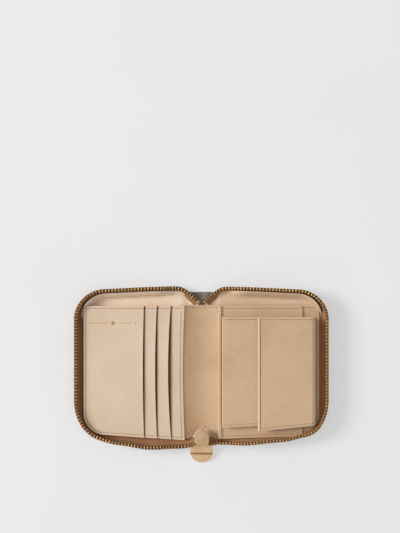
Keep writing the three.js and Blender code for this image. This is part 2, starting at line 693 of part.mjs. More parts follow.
// The bridge under the slider: a half ring round the pull's end bar.
function sliderBridge() {
  const outline = new THREE.Shape();
  outline.absarc(0, 0, BRIDGE_OUT_R, Math.PI, 2 * Math.PI);
  outline.lineTo(BRIDGE_OUT_R, BRIDGE_TOP_Z - PIVOT_Z);
  outline.lineTo(BRIDGE_IN_R, BRIDGE_TOP_Z - PIVOT_Z);
  outline.absarc(0, 0, BRIDGE_IN_R, 2 * Math.PI, Math.PI, true);
  outline.lineTo(-BRIDGE_IN_R, BRIDGE_TOP_Z - PIVOT_Z);
  outline.lineTo(-BRIDGE_OUT_R, BRIDGE_TOP_Z - PIVOT_Z);
  const options = { depth: BRIDGE_W, bevelEnabled: false, curveSegments: ARC_STEPS };
  const upright = new THREE.ExtrudeGeometry(outline, options);
  // Plan axes to the frame: x to y, y to z, and the depth across in x.
  upright.translate(0, 0, -BRIDGE_W / 2).rotateX(Math.PI / 2).rotateZ(Math.PI / 2);
  return upright.translate(0, PIVOT_Y, PIVOT_Z);
}

// The round pull, hung by its end bar and drooping until its far edge meets the table.
function pullDisc() {
  const slotNear = PULL_BAR / 2;
  const slotFar = BRIDGE_OUT_R + 2 * CLEAR;
  const slotHalf = BRIDGE_W / 2 + CLEAR;
  const plan = new THREE.Shape();
  plan.absarc(0, -PULL_PIVOT, PULL_R, 0, 2 * Math.PI);
  const slot = new THREE.Path();
  slot.moveTo(-slotHalf, -slotNear);
  slot.lineTo(slotHalf, -slotNear);
  slot.lineTo(slotHalf, -slotFar);
  slot.lineTo(-slotHalf, -slotFar);
  slot.closePath();
  plan.holes.push(slot);
  const options = { depth: PULL_T, bevelEnabled: false, curveSegments: ROUND_STEPS };
  const blank = solid(new THREE.ExtrudeGeometry(plan, options).translate(0, 0, -PULL_T / 2));
  const grooveFar = -PULL_PIVOT - GROOVE_PAST - GROOVE_W;
  const groove = block([-PULL_R, grooveFar, PULL_T / 2 - GROOVE_DEPTH],
    [PULL_R, grooveFar + GROOVE_W, PULL_T]);
  const reach = PULL_PIVOT + PULL_R;
  const droop = Math.asin((PIVOT_Z - PULL_FLOOR - PULL_T / 2) / reach);
  const made = geometryOf(blank.subtract(solid(groove)));
  return made.rotateX(droop).translate(0, PIVOT_Y, PIVOT_Z);
}

// ---------------------------------------------------------------- assembly

function part(name, geometry, material) {
  const mesh = new THREE.Mesh(geometry, material());
  mesh.name = name;
  return mesh;
}

function spine() {
  const group = new THREE.Group();
  group.add(part("outer_spine", outerSpine(), coatedCanvas));
  group.add(part("spine_lining", spineLining(), liningLeather));
  group.add(part("spine_panel", spinePanel(), deeperLeather));
  for (const [name, side] of [["left", -1], ["right", 1]]) {
    group.add(part(`zip_top_end_${name}`, zipTopEnd(side), brass));
    group.add(part(`zip_top_stop_${name}`, zipTopStop(side), brass));
  }
  return group;
}

function coverLayers(name, side, leather) {
  const group = new THREE.Group();
  group.add(part(`outer_cover_${name}`, outerCover(side), coatedCanvas));
  group.add(part(`cover_board_${name}`, coverBoard(side), greyBoard));
  group.add(part(`lining_${name}`, coverLining(side), liningLeather));
  group.add(part(`zip_tape_${name}`, zipTape(side), tanTape));
  group.add(part(`zip_chain_${name}`, zipChain(side), brass));
  group.add(part(`base_panel_${name}`, basePanel(side), leather));
  return group;
}

function leftHalf() {
  const group = coverLayers("left", -1, palerLeather);
  POCKET_MOUTHS.forEach((mouth, level) => {
    group.add(part(`card_pocket_left_${level + 1}`, leftCardPocket(level), palerLeather));
  });
  return group;
}

function rightHalf() {
  const group = coverLayers("right", 1, deeperLeather);
  group.add(part("card_pocket_right", rightCardPocket(), deeperLeather));
  group.add(part("edge_band", edgeBand(), deeperLeather));
  group.add(part("coin_pouch_back", pouchBack(), deeperLeather));
  group.add(part("coin_pouch_wall", pouchWall(), deeperLeather));
  group.add(part("coin_gusset_head", headGusset(), deeperLeather));
  group.add(part("coin_gusset_tail", tailGusset(), deeperLeather));
  return group;
}

function coinFront() {
  const group = new THREE.Group();
  group.add(part("coin_pouch_front", pouchFront(), deeperLeather));
  group.add(part("snap_stud", snapStud(), brass));
  return group;
}

function coinFlap() {
  const group = new THREE.Group();
  group.add(part("coin_flap", flapOuter(), deeperLeather));
  group.add(part("coin_flap_lining", flapLining(), liningLeather));
  group.add(part("snap_socket", snapSocket(), brass));
  return group;
}

function sliderAndPull() {
  const group = new THREE.Group();
  group.add(part("zip_chain_end", zipChainEnd(), brass));
  group.add(part("zip_bottom_stop", zipBottomStop(), brass));
  group.add(part("slider_body", sliderBody(), paleGold));
  group.add(part("slider_bridge", sliderBridge(), paleGold));
  group.add(part("pull_disc", pullDisc(), paleGold));
  return group;
}

const wallet = new THREE.Group();
wallet.add(spine(), leftHalf(), rightHalf(), coinFront(), coinFlap(), sliderAndPull());

export default wallet;
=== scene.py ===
import math

import bmesh
import bpy
from mathutils import Matrix, Vector, noise


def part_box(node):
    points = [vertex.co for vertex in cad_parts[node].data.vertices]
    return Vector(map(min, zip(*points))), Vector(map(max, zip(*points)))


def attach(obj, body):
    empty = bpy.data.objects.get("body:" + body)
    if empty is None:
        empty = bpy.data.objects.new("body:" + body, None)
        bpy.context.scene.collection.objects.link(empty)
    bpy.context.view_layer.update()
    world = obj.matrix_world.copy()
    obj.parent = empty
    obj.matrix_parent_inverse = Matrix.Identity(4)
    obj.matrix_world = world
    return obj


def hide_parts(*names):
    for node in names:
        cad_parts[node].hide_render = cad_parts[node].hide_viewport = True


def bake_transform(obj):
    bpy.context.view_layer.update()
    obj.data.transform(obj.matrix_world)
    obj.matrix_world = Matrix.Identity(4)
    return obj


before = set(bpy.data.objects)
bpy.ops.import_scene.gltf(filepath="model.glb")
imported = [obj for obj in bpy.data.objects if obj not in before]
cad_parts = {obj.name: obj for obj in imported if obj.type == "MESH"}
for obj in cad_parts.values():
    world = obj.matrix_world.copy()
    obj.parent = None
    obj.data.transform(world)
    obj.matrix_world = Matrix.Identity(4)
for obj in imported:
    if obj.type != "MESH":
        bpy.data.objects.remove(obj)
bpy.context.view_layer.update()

MM = 0.001


def box_mm(node):
    """Lowest and highest corner of a CAD node, in millimetres."""
    low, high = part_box(node)
    return low / MM, high / MM


# ------------------------------------------------------------------ sizes from the frame

cover_high = box_mm("outer_cover_right")[1]
COVER_REACH = cover_high.x
COVER_HALF = cover_high.y
COVER_TOP = cover_high.z
LAYER_START = box_mm("lining_right")[0].x
panel_low, panel_high = box_mm("base_panel_right")
PANEL_REACH = panel_high.x
PANEL_HEAD = panel_high.y
PANEL_TAIL = panel_low.y

HEAD_CORNER = 17
TAIL_CORNER = 30
PANEL_HEAD_CORNER = 3
# how the soft panels of each half have settled, by side
TAIL_SAG = {-1: 1.6, 1: 0.6}  # the tail edge's drop beside the spine
TAIL_RISE = {-1: 4.0, 1: 2.0}  # and its rise from there to the fore corner
TAIL_ROUND = {-1: 15.0, 1: 9.0}
HEAD_SAG = {-1: 1.3, 1: 0.7}

STITCH_IN = 1.7  # a seam's distance from the edge
STITCH_PITCH = 2.4
STITCH_LENGTH = 1.5
STITCH_W = 0.5
STITCH_H = 0.22
HOLE_LENGTH = 0.85
HOLE_W = 0.62
HOLE_H = 0.2
COLUMNS = 56  # of a leather part's mesh, between its inner and fore edges
ROWS = 72  # between its tail and head edges

# ------------------------------------------------------------------ shared effects


def node_group(name, inputs, outputs):
    """An empty shader node group with float, colour or vector sockets."""
    kinds = {"value": "NodeSocketFloat", "colour": "NodeSocketColor", "vector": "NodeSocketVector"}
    group = bpy.data.node_groups.new(name, "ShaderNodeTree")
    for label, kind, value in inputs:
        socket = group.interface.new_socket(label, in_out="INPUT", socket_type=kinds[kind])
        if value is not None:
            socket.default_value = value
    for label, kind in outputs:
        group.interface.new_socket(label, in_out="OUTPUT", socket_type=kinds[kind])
    start = group.nodes.new("NodeGroupInput")
    end = group.nodes.new("NodeGroupOutput")
    return group, start, end


def add_node(tree, kind, **settings):
    """A node with its properties, and its inputs by name or number, set."""
    node = tree.nodes.new(kind)
    for key, value in settings.items():
        if key == "inputs":
            for label, given in value.items():
                node.inputs[label].default_value = given
        else:
            setattr(node, key, value)
    return node


def math_node(tree, operation, first, second=None, clamp=False):
    """A Math node whose two inputs are sockets or numbers."""
    node = add_node(tree, "ShaderNodeMath", operation=operation, use_clamp=clamp)
    for place, value in enumerate((first, second)):
        if value is None:
            continue
        if isinstance(value, (int, float)):
            node.inputs[place].default_value = value
        else:
            tree.links.new(value, node.inputs[place])
    return node.outputs[0]


def mix_colour(tree, share, first, second, blend="MIX"):
    """A colour mix whose inputs are sockets, numbers or colours."""
    node = add_node(tree, "ShaderNodeMix", data_type="RGBA", blend_type=blend)
    for place, value in ((0, share), (6, first), (7, second)):
        if isinstance(value, bpy.types.NodeSocket):
            tree.links.new(value, node.inputs[place])
        else:
            node.inputs[place].default_value = value
    return node.outputs[2]


def ramp(tree, value, low, high, out_low=0.0, out_high=1.0):
    """A value mapped from one range to another, and held at its ends."""
    node = add_node(tree, "ShaderNodeMapRange", clamp=True)
    node.inputs[1].default_value = low
    node.inputs[2].default_value = high
    node.inputs[3].default_value = out_low
    node.inputs[4].default_value = out_high
    tree.links.new(value, node.inputs[0])
    return node.outputs[0]


def noise_value(tree, vector, scale, detail=3.0, roughness=0.5):
    node = add_node(tree, "ShaderNodeTexNoise")
    node.inputs["Scale"].default_value = scale
    node.inputs["Detail"].default_value = detail
    node.inputs["Roughness"].default_value = roughness
    tree.links.new(vector, node.inputs["Vector"])
    return node.outputs[0]


def make_hide_group():
    """Fine pebbled grain and the slow tone changes of a dyed hide."""
    group, start, end = node_group(
        "hide_grain",
        [("Place", "vector", None), ("Pebble", "value", 1700.0)],
        [("Height", "value"), ("Tone", "value"), ("Blotch", "value")],
    )
    cells = add_node(group, "ShaderNodeTexVoronoi", feature="SMOOTH_F1")
    group.links.new(start.outputs["Place"], cells.inputs["Vector"])
    group.links.new(start.outputs["Pebble"], cells.inputs["Scale"])
    cells.inputs["Smoothness"].default_value = 0.6
    creases = noise_value(group, start.outputs["Place"], 420.0, 4.0, 0.6)
    height = math_node(group, "ADD", math_node(group, "MULTIPLY", cells.outputs[0], 0.6), creases)
    group.links.new(height, end.inputs["Height"])
    tone = noise_value(group, start.outputs["Place"], 34.0, 3.0, 0.55)
    group.links.new(tone, end.inputs["Tone"])
    group.links.new(noise_value(group, start.outputs["Place"], 260.0, 5.0, 0.7), end.inputs["Blotch"])
    return group


def make_rim_group():
    """Masks for a leather part: its rim, in patches, and the pressed line of its seam. Leather pales the
    rim, partly as a painted highlight, and darkens the seam line as painted shade.
    """
    group, start, end = node_group(
        "rim_and_seam",
        [("Place", "vector", None), ("Rub", "value", 0.6)],
        [("Rim", "value"), ("Seam", "value")],
    )
    rim = add_node(group, "ShaderNodeAttribute", attribute_name="rim")
    seam = add_node(group, "ShaderNodeAttribute", attribute_name="seam")
    patchy = ramp(group, noise_value(group, start.outputs["Place"], 150.0, 3.0), 0.3, 0.7, 0.55, 1.0)
    patchy_rim = math_node(group, "MULTIPLY", rim.outputs["Fac"], patchy)
    group.links.new(math_node(group, "MULTIPLY", patchy_rim, start.outputs["Rub"]), end.inputs["Rim"])
    group.links.new(seam.outputs["Fac"], end.inputs["Seam"])
    return group


def make_weave_group():
    """A plain weave of two sets of threads, at right angles in the place's x and y."""
    group, start, end = node_group(
        "plain_weave",
        [("Place", "vector", None), ("Threads", "value", 2000.0)],
        [("Height", "value"), ("Over", "value")],
    )
    split = add_node(group, "ShaderNodeSeparateXYZ")
    group.links.new(start.outputs["Place"], split.inputs[0])
    across = math_node(group, "MULTIPLY", split.outputs[0], start.outputs["Threads"])
    along = math_node(group, "MULTIPLY", split.outputs[1], start.outputs["Threads"])
    warp = math_node(group, "SINE", math_node(group, "MULTIPLY", across, math.pi))
    weft = math_node(group, "SINE", math_node(group, "MULTIPLY", along, math.pi))
    over = math_node(group, "MULTIPLY", warp, weft)
    group.links.new(math_node(group, "ABSOLUTE", over), end.inputs["Height"])
    group.links.new(ramp(group, over, -0.6, 0.6), end.inputs["Over"])
    return group


def make_twill_group():
    """A herringbone twill: diagonal ribs that turn back at every stripe."""
    group, start, end = node_group(
        "herringbone",
        [("Place", "vector", None), ("Ribs", "value", 1.1), ("Stripe", "value", 2.4)],
        [("Height", "value"), ("Rib", "value")],
    )
    split = add_node(group, "ShaderNodeSeparateXYZ")
    group.links.new(start.outputs["Place"], split.inputs[0])
    zigzag = add_node(group, "ShaderNodeMath", operation="PINGPONG")
    group.links.new(split.outputs[1], zigzag.inputs[0])
    group.links.new(start.outputs["Stripe"], zigzag.inputs[1])
    slant = math_node(group, "ADD", split.outputs[0], zigzag.outputs[0])
    wave = math_node(group, "SINE", math_node(group, "MULTIPLY",
        math_node(group, "MULTIPLY", slant, start.outputs["Ribs"]), 2 * math.pi))
    group.links.new(wave, end.inputs["Height"])
    group.links.new(ramp(group, wave, -1.0, 1.0), end.inputs["Rib"])
    return group


def make_tarnish_group():
    """Uneven plating: cloudy darker patches and fine brushed scratches."""
    group, start, end = node_group(
        "plating",
        [("Place", "vector", None), ("Cloud", "value", 160.0)],
        [("Dull", "value"), ("Scratch", "value")],
    )
    cloud = add_node(group, "ShaderNodeTexNoise")
    cloud.inputs["Detail"].default_value = 4.0
    group.links.new(start.outputs["Place"], cloud.inputs["Vector"])
    group.links.new(start.outputs["Cloud"], cloud.inputs["Scale"])
    group.links.new(ramp(group, cloud.outputs[0], 0.4, 0.68), end.inputs["Dull"])
    stretch = add_node(group, "ShaderNodeMapping")
    stretch.inputs["Scale"].default_value = (300.0, 5200.0, 900.0)
    group.links.new(start.outputs["Place"], stretch.inputs["Vector"])
    group.links.new(noise_value(group, stretch.outputs[0], 1.0, 2.0), end.inputs["Scratch"])
    return group


HIDE = make_hide_group()
RIM = make_rim_group()
WEAVE = make_weave_group()
TWILL = make_twill_group()
PLATING = make_tarnish_group()

# ------------------------------------------------------------------ materials


def linear(code):
    """A colour given as a web code, in linear light."""
    parts = [int(code[i:i + 2], 16) / 255 for i in (1, 3, 5)]
    return (*[p / 12.92 if p <= 0.04045 else ((p + 0.055) / 1.055) ** 2.4 for p in parts], 1.0)


def blank_material(name):
    """A material with its shader and a place vector."""
    made = bpy.data.materials.new(name)
    made.use_nodes = True
    tree = made.node_tree
    shader = tree.nodes["Principled BSDF"]
    place = add_node(tree, "ShaderNodeTexCoord").outputs["Object"]
    return made, tree, shader, place


def use_group(tree, group, place=None, **values):
    node = add_node(tree, "ShaderNodeGroup", node_tree=group)
    if place is not None:
        tree.links.new(place, node.inputs["Place"])
    for label, value in values.items():
        node.inputs[label].default_value = value
    return node


def bump(tree, shader, height, distance, strength=1.0):
    node = add_node(tree, "ShaderNodeBump")
    node.inputs["Strength"].default_value = strength
    node.inputs["Distance"].default_value = distance
    tree.links.new(height, node.inputs["Height"])
    tree.links.new(node.outputs[0], shader.inputs["Normal"])


def leather(name, colour, deep, pale, pebble=1700.0, roughness=0.5):
    """Smooth finished leather: a fine grain, a paler rim that is partly rubbed wear and partly a painted
    highlight on the turned edge, and painted shade along the pressed seam line.
    """
    made, tree, shader, place = blank_material(name)
    hide = use_group(tree, HIDE, place, Pebble=pebble)
    marks = use_group(tree, RIM, place, Rub=0.55)
    tone = ramp(tree, hide.outputs["Tone"], 0.32, 0.68)
    base = mix_colour(tree, tone, linear(deep), linear(colour))
    speckle = ramp(tree, hide.outputs["Blotch"], 0.35, 0.75, 0.0, 0.22)
    base = mix_colour(tree, speckle, base, linear(pale))
    # paler rim: partly rubbed wear, partly a painted highlight where the turned edge catches the light
    base = mix_colour(tree, marks.outputs["Rim"], base, linear(pale))
    # painted shade: the pressed seam line is darkened towards #a5835f
    seam = math_node(tree, "MULTIPLY", marks.outputs["Seam"], 0.2)
    base = mix_colour(tree, seam, base, linear("#a5835f"))
    tree.links.new(base, shader.inputs["Base Color"])
    rough = ramp(tree, hide.outputs["Blotch"], 0.3, 0.7, roughness - 0.05, roughness + 0.09)
    tree.links.new(rough, shader.inputs["Roughness"])
    bump(tree, shader, hide.outputs["Height"], 0.00006, 0.55)
    shader.inputs["Specular IOR Level"].default_value = 0.42
    return made


def coated_canvas():
    """Coated canvas: a mottled taupe print under a clear matt coat, with the weave showing."""
    made, tree, shader, place = blank_material("mottled_canvas")
    weave = use_group(tree, WEAVE, place, Threads=1500.0)
    hide = use_group(tree, HIDE, place, Pebble=900.0)
    fleck = ramp(tree, noise_value(tree, place, 330.0, 5.0, 0.75), 0.42, 0.58)
    base = mix_colour(tree, fleck, linear("#54483e"), linear("#9c8b7b"))
    base = mix_colour(tree, ramp(tree, hide.outputs["Tone"], 0.35, 0.65, 0.0, 0.4), base, linear("#7d6a5a"))
    thread = math_node(tree, "MULTIPLY", weave.outputs["Over"], 0.16)
    base = mix_colour(tree, thread, base, linear("#b5a593"))
    marks = use_group(tree, RIM, place, Rub=0.5)
    base = mix_colour(tree, marks.outputs["Rim"], base, linear("#6b5a4b"))
    tree.links.new(base, shader.inputs["Base Color"])
    rough = ramp(tree, weave.outputs["Height"], 0.0, 1.0, 0.62, 0.48)
    tree.links.new(rough, shader.inputs["Roughness"])
    bump(tree, shader, weave.outputs["Height"], 0.00005, 0.3)
    shader.inputs["Coat Weight"].default_value = 0.15
    shader.inputs["Coat Roughness"].default_value = 0.4
    return made


def woven_tape():
    """Zip tape: a herringbone of fine tan threads with a slight sheen."""
    made, tree, shader, place = blank_material("herringbone_tape")
    strip = add_node(tree, "ShaderNodeUVMap", uv_map="strip").outputs[0]
    twill = use_group(tree, TWILL, strip)
    base = mix_colour(tree, twill.outputs["Rib"], linear("#8c5f38"), linear("#c08b5f"))
    cloud = ramp(tree, noise_value(tree, place, 110.0, 4.0), 0.35, 0.7, 0.0, 0.45)
    base = mix_colour(tree, cloud, base, linear("#a3744c"))
    tree.links.new(base, shader.inputs["Base Color"])
    tree.links.new(ramp(tree, twill.outputs["Rib"], 0.0, 1.0, 0.92, 0.78), shader.inputs["Roughness"])
    bump(tree, shader, twill.outputs["Height"], 0.00008, 0.8)
    shader.inputs["Sheen Weight"].default_value = 0.25
    shader.inputs["Sheen Roughness"].default_value = 0.5
    return made


def metal(name, bright, dull, cloud, rough_low, rough_high, mirror=1.0):
    """Plated metal with cloudy dulling and fine scratches; a lower mirror is paler and less metallic."""
    made, tree, shader, place = blank_material(name)
    plating = use_group(tree, PLATING, place, Cloud=cloud)
    share = math_node(tree, "MULTIPLY", plating.outputs["Dull"], 0.6)
    base = mix_colour(tree, share, linear(bright), linear(dull))
    tree.links.new(base, shader.inputs["Base Color"])
    tree.links.new(ramp(tree, plating.outputs["Scratch"], 0.3, 0.7, rough_low, rough_high),
                   shader.inputs["Roughness"])
    bump(tree, shader, plating.outputs["Scratch"], 0.00001, 0.35)
    shader.inputs["Metallic"].default_value = mirror
    return made


def plain_fibre(name, low, high, scale, roughness):
    """A matt fibrous surface, for thread, thread holes and grey board."""
    made, tree, shader, place = blank_material(name)
    fibre = noise_value(tree, place, scale, 4.0, 0.65)
    base = mix_colour(tree, ramp(tree, fibre, 0.3, 0.7), linear(low), linear(high))
    tree.links.new(base, shader.inputs["Base Color"])
    tree.links.new(ramp(tree, fibre, 0.3, 0.7, roughness, roughness - 0.12), shader.inputs["Roughness"])
    bump(tree, shader, fibre, 0.00005, 0.6)
    return made


# pale leather for the left half: partly its own colour, partly painted light, set lighter than the right
# half's tan to stand for the brighter light on the left half; on the flap's turned edge it is a painted
# highlight
LEATHER_PALE_AND_LIT = leather("pale_and_lit_leather", "#e0c6ac", "#d8bca0", "#ead4bc")
LEATHER_TAN = leather("tan_leather", "#d2af8b", "#c8a47e", "#e0c4a4")
LEATHER_SPINE = leather("spine_leather", "#ccaa86", "#c29c77", "#d8bb99")
# painted light: a much paler copy of the lining leather, for the left lining, standing for the brighter
# light on that strip
LINING_PAINTED_LIT = leather("painted_lit_lining", "#f6dcc0", "#eccfb0", "#f6e2cb", pebble=1300.0, roughness=0.56)
LEATHER_LINING = leather("lining_leather", "#dfc1a2", "#d2b18e", "#e2c8ac", pebble=1300.0, roughness=0.56)
CANVAS = coated_canvas()
TAPE = woven_tape()
BRASS = metal("antique_brass", "#e2c08a", "#9a7546", 420.0, 0.26, 0.44)
GOLD = metal("pale_gold", "#efc99f", "#d6ab80", 120.0, 0.3, 0.44, 0.85)
# painted reflection: the pull's gold is the slider's gold made brighter and less mirror-like, standing for
# the bright light its flat face reflects
PULL_GOLD_PAINTED_BRIGHT = metal("pull_gold_painted_reflection", "#fad4a8", "#efc294", 120.0, 0.32, 0.46, 0.7)
# painted shade: a darker gold for the floor of the pull's groove, standing for the shade in the groove
GROOVE_SHADE_GOLD = metal("groove_painted_shade", "#c8955a", "#a97742", 200.0, 0.36, 0.5)
FOIL = metal("gold_foil", "#e6c07a", "#cfa35a", 300.0, 0.3, 0.45)
THREAD = plain_fibre("sewing_thread", "#c2a07b", "#d3b38d", 2400.0, 0.85)
# painted shade: dark needle-hole dots, standing for the shade inside the holes
HOLE = plain_fibre("needle_hole_shade", "#94714f", "#846243", 1500.0, 0.95)
CORD = plain_fibre("tape_cord", "#5e3b20", "#7d5230", 900.0, 0.9)
# painted shadow: dark strips showing past each card pocket's mouth, standing for the shadow in the gap under
# the lifted edge
POCKET_MOUTH_SHADOW = plain_fibre("pocket_mouth_shadow", "#4f3318", "#664526", 1800.0, 0.9)
BOARD = plain_fibre("grey_board", "#8d877c", "#a49d90", 700.0, 0.95)

# ------------------------------------------------------------------ making pieces


def finished(name, bm, *materials, sharp=50):
    """The mesh in millimetres as a finished object in metres, with its normals set outwards."""
    bmesh.ops.recalc_face_normals(bm, faces=bm.faces[:])
    bmesh.ops.scale(bm, vec=(MM, MM, MM), verts=bm.verts[:])
    mesh = bpy.data.meshes.new(name)
    bm.to_mesh(mesh)
    bm.free()
    mesh.shade_smooth()
    mesh.set_sharp_from_angle(angle=math.radians(sharp))
    for material in materials:
        mesh.materials.append(material)
    made = bpy.data.objects.new(name, mesh)
    bpy.context.scene.collection.objects.link(made)
    return made


def on_body(piece, body, slot, *nodes):
    """Puts a piece on its body and hides the CAD nodes it stands for. The finish slot is not used."""
    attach(piece, body)
    if nodes:
        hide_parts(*nodes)
    return piece


def across_fold(piece, half, slot, *nodes):
    """Bakes a piece's placement into its mesh and hides the CAD nodes it stands for. The half and the finish
    slot are not used.
    """
    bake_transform(piece)
    if nodes:
        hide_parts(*nodes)
    return piece


def smooth_step(value, low, high):
    """0 below low, 1 above high, and a soft rise between."""
    share = min(max((value - low) / (high - low), 0.0), 1.0)
    return share * share * (3 - 2 * share)


def eased(share):
    """A share of a length whose steps are finer near both ends."""
    return (1 - math.cos(math.pi * share)) / 2


ALL_EDGES = ("inner", "tail", "fore", "head")


class Outline:
    """A right-hand outline: straight inner edge, round fore corners, a tail edge that may rise."""

    def __init__(self, inner, fore, tail, head, tail_corner, head_corner, rise=0.0, rise_from=0.0):
        self.inner, self.fore, self.tail_y, self.head_y = inner, fore, tail, head
        self.tail_corner, self.head_corner = tail_corner, head_corner
        self.rise, self.rise_from = rise, rise_from
        self.tail_x = fore - tail_corner
        self.head_x = fore - head_corner
        self.tail_mid = self.tail_line(self.tail_x) + tail_corner
        self.head_mid = head - head_corner

    def tail_line(self, x):
        share = (x - self.rise_from) / (self.tail_x - self.rise_from)
        return self.tail_y + self.rise * min(max(share, 0.0), 1.0)

    def tail(self, x):
        if x <= self.tail_x:
            return self.tail_line(x)
        return self.tail_mid - math.sqrt(max(self.tail_corner ** 2 - (x - self.tail_x) ** 2, 0.0))

    def head(self, x):
        if x <= self.head_x:
            return self.head_y
        return self.head_mid + math.sqrt(max(self.head_corner ** 2 - (x - self.head_x) ** 2, 0.0))

    def place(self, u, v):
        """A point of the outline's area from two shares of its width and height."""
        x = self.inner + (self.fore - self.inner) * eased(u)
        low, high = self.tail(x), self.head(x)
        return x, low + (high - low) * eased(v)

    def depth(self, x, y, edges=ALL_EDGES):
        """Distance in from the nearest of the given edges."""
        if x > self.tail_x and y < self.tail_mid and {"tail", "fore"} <= set(edges):
            return self.tail_corner - math.hypot(x - self.tail_x, y - self.tail_mid)
        if x > self.head_x and y > self.head_mid and {"head", "fore"} <= set(edges):
            return self.head_corner - math.hypot(x - self.head_x, y - self.head_mid)
        ways = {"inner": x - self.inner, "fore": self.fore - x,
                "tail": y - self.tail(x), "head": self.head(x) - y}
        return min(ways[edge] for edge in edges)

    def seam(self, inset, edges, short=0.0):
        """The line of a seam inside the given edges, in runs that turn with the corners."""
        runs = []
        left = self.inner + (inset if "inner" in edges else short)
        right = self.fore - (inset if "fore" in edges else short)
        low = self.tail_mid if "tail" in edges else self.tail_y + short
        tail_r = max(self.tail_corner - inset, 0.0)
        head_r = max(self.head_corner - inset, 0.0)
        line = []
        if "tail" in edges:
            steps = 24
            stop = self.tail_x if "fore" in edges else right
            for i in range(steps + 1):
                x = left + (stop - left) * i / steps
                line.append((x, self.tail(x) + inset))
            if "fore" not in edges:
                runs.append(line)
                line = []
        if "fore" in edges:
            for i in range(1, 13):
                turn = math.pi / 2 * i / 12
                line.append((self.tail_x + tail_r * math.sin(turn), self.tail_mid - tail_r * math.cos(turn)))
            top = self.head_mid if "head" in edges else self.head_y - short
            line.append((right, max(top, low)))
            if "head" not in edges:
                runs.append(line)
                line = []
        if "head" in edges:
            if "fore" in edges:
                for i in range(1, 7):
                    turn = math.pi / 2 * i / 6
                    line.append((self.head_x + head_r * math.cos(turn),
                                 self.head_mid + head_r * math.sin(turn)))
            else:
                line.append((right, self.head_y - inset))
            line.append((left, self.head_y - inset))
            runs.append(line)
            line = []
        if "inner" in edges:
            runs.append([(left, self.head_y - inset - STITCH_PITCH),
                         (left, self.tail(left) + inset + STITCH_PITCH)])
        return runs


LEFT_TAIL_DRAW = 3.0  # most that the left half's tail corner is drawn in
RIGHT_TAIL_DRAW = (2.4, 2.6)  # the right half's tail: near the spine, and added further out


def tail_draw(side, x):
    """How far the worn tail edge is drawn in: the left half at its corner, the right half all along."""
    if side < 0:
        return LEFT_TAIL_DRAW * smooth_step(x, 36.0, 58.0) * (1 - smooth_step(x, 64.0, 84.0))
    inner, outer = RIGHT_TAIL_DRAW
    drawn = inner * smooth_step(x, 5.0, 12.0) + outer * smooth_step(x, 26.0, 60.0)
    return drawn * (1 - smooth_step(x, 65.0, 83.0))


class CoverOutline(Outline):
    """The outline of a layer of the cover, which follows its half's drawn-in tail edge."""

    def __init__(self, side, *sizes):
        self.side = side
        super().__init__(*sizes)

    def tail(self, x):
        return super().tail(x) + tail_draw(self.side, x)

    def depth(self, x, y, edges=ALL_EDGES):
        drawn = tail_draw(self.side, x) if y < 0 else 0.0
        ways = [Outline.depth(self, x, y - drawn, [edge for edge in edges if edge != "tail"])]
        if "tail" in edges:
            ways.append(y - self.tail(x))
        if x > self.tail_x and y - drawn < self.tail_mid:
            ways.append(self.tail_corner - math.hypot(x - self.tail_x, y - drawn - self.tail_mid))
        return min(ways)


class Leather:
    """A flat leather part: its outline, its two faces, how it stands proud, and its seams."""

    def __init__(self, outline, low, high, side=1, lift=None, seams=(), puff=0.0, slack=0.12, bow=0.0):
        self.outline, self.low, self.high, self.side = outline, low, high, side
        self.lift = lift or (lambda x, y: 0.0)
        self.seams, self.puff, self.slack, self.bow = seams, puff, slack, bow

    def bowed(self, x, y):
        """The inner edge gives way towards the fore edge in its middle, as a used mouth does."""
        middle = max(1 - ((y + 2) / 46) ** 2, 0.0)
        near = max(1 - (x - self.outline.inner) / 14, 0.0)
        return x + self.bow * middle * near * near

    def seam_at(self, x, y):
        """1 on a seam's line and 0 away from it."""
        if not self.seams:
            return 0.0
        away = self.outline.depth(x, y, self.seams) - STITCH_IN
        return math.exp(-((away / 0.45) ** 2))

    def swell(self, x, y):
        """How far the face stands out between its seams, with slow uneven slack."""
        depth = self.outline.depth(x, y, self.seams or ALL_EDGES)
        share = smooth_step(depth, STITCH_IN, 14.0)
        waves = noise.noise(Vector((self.side * x / 23, y / 31, self.low)))
        return share * (self.puff + self.slack * waves)

    def top(self, x, y):
        """Height of the upper face."""
        return self.high + self.lift(x, y) + self.swell(x, y) - 0.16 * self.seam_at(x, y)

    def mesh(self, columns=COLUMNS, rows=ROWS, edges=ALL_EDGES):
        """The part as a closed mesh, with rim and seam weights for its material."""
        bm = bmesh.new()
        rim = bm.verts.layers.float.new("rim")
        seam = bm.verts.layers.float.new("seam")
        bmesh.ops.create_grid(bm, x_segments=columns, y_segments=rows, size=0.5)
        raised = bmesh.ops.extrude_face_region(bm, geom=bm.faces[:])["geom"]
        upper = {item for item in raised if isinstance(item, bmesh.types.BMVert)}
        radius = (self.high - self.low) / 2
        for vert in bm.verts:
            x, y = self.outline.place(vert.co.x + 0.5, vert.co.y + 0.5)
            depth = self.outline.depth(x, y, edges)
            inward = 1 - min(max(depth, 0.0) / radius, 1.0)
            turned = radius * (1 - math.sqrt(1 - inward * inward))
            if vert in upper:
                z = self.top(x, y) - turned
                vert[seam] = self.seam_at(x, y)
            else:
                z = self.low + self.lift(x, y) + turned
            vert[rim] = math.exp(-max(depth, 0.0) / 0.7)
            vert.co = (self.side * self.bowed(x, y), y, z)
        return bm


def stitch_shape():
    """One stitch lying along x: a low flattened capsule."""
    bm = bmesh.new()
    bmesh.ops.create_uvsphere(bm, u_segments=8, v_segments=5, radius=0.5)
    bmesh.ops.rotate(bm, matrix=Matrix.Rotation(math.pi / 2, 3, "Y"), verts=bm.verts[:])
    bmesh.ops.scale(bm, vec=(STITCH_LENGTH, STITCH_W, 2 * STITCH_H), verts=bm.verts[:])
    return bm


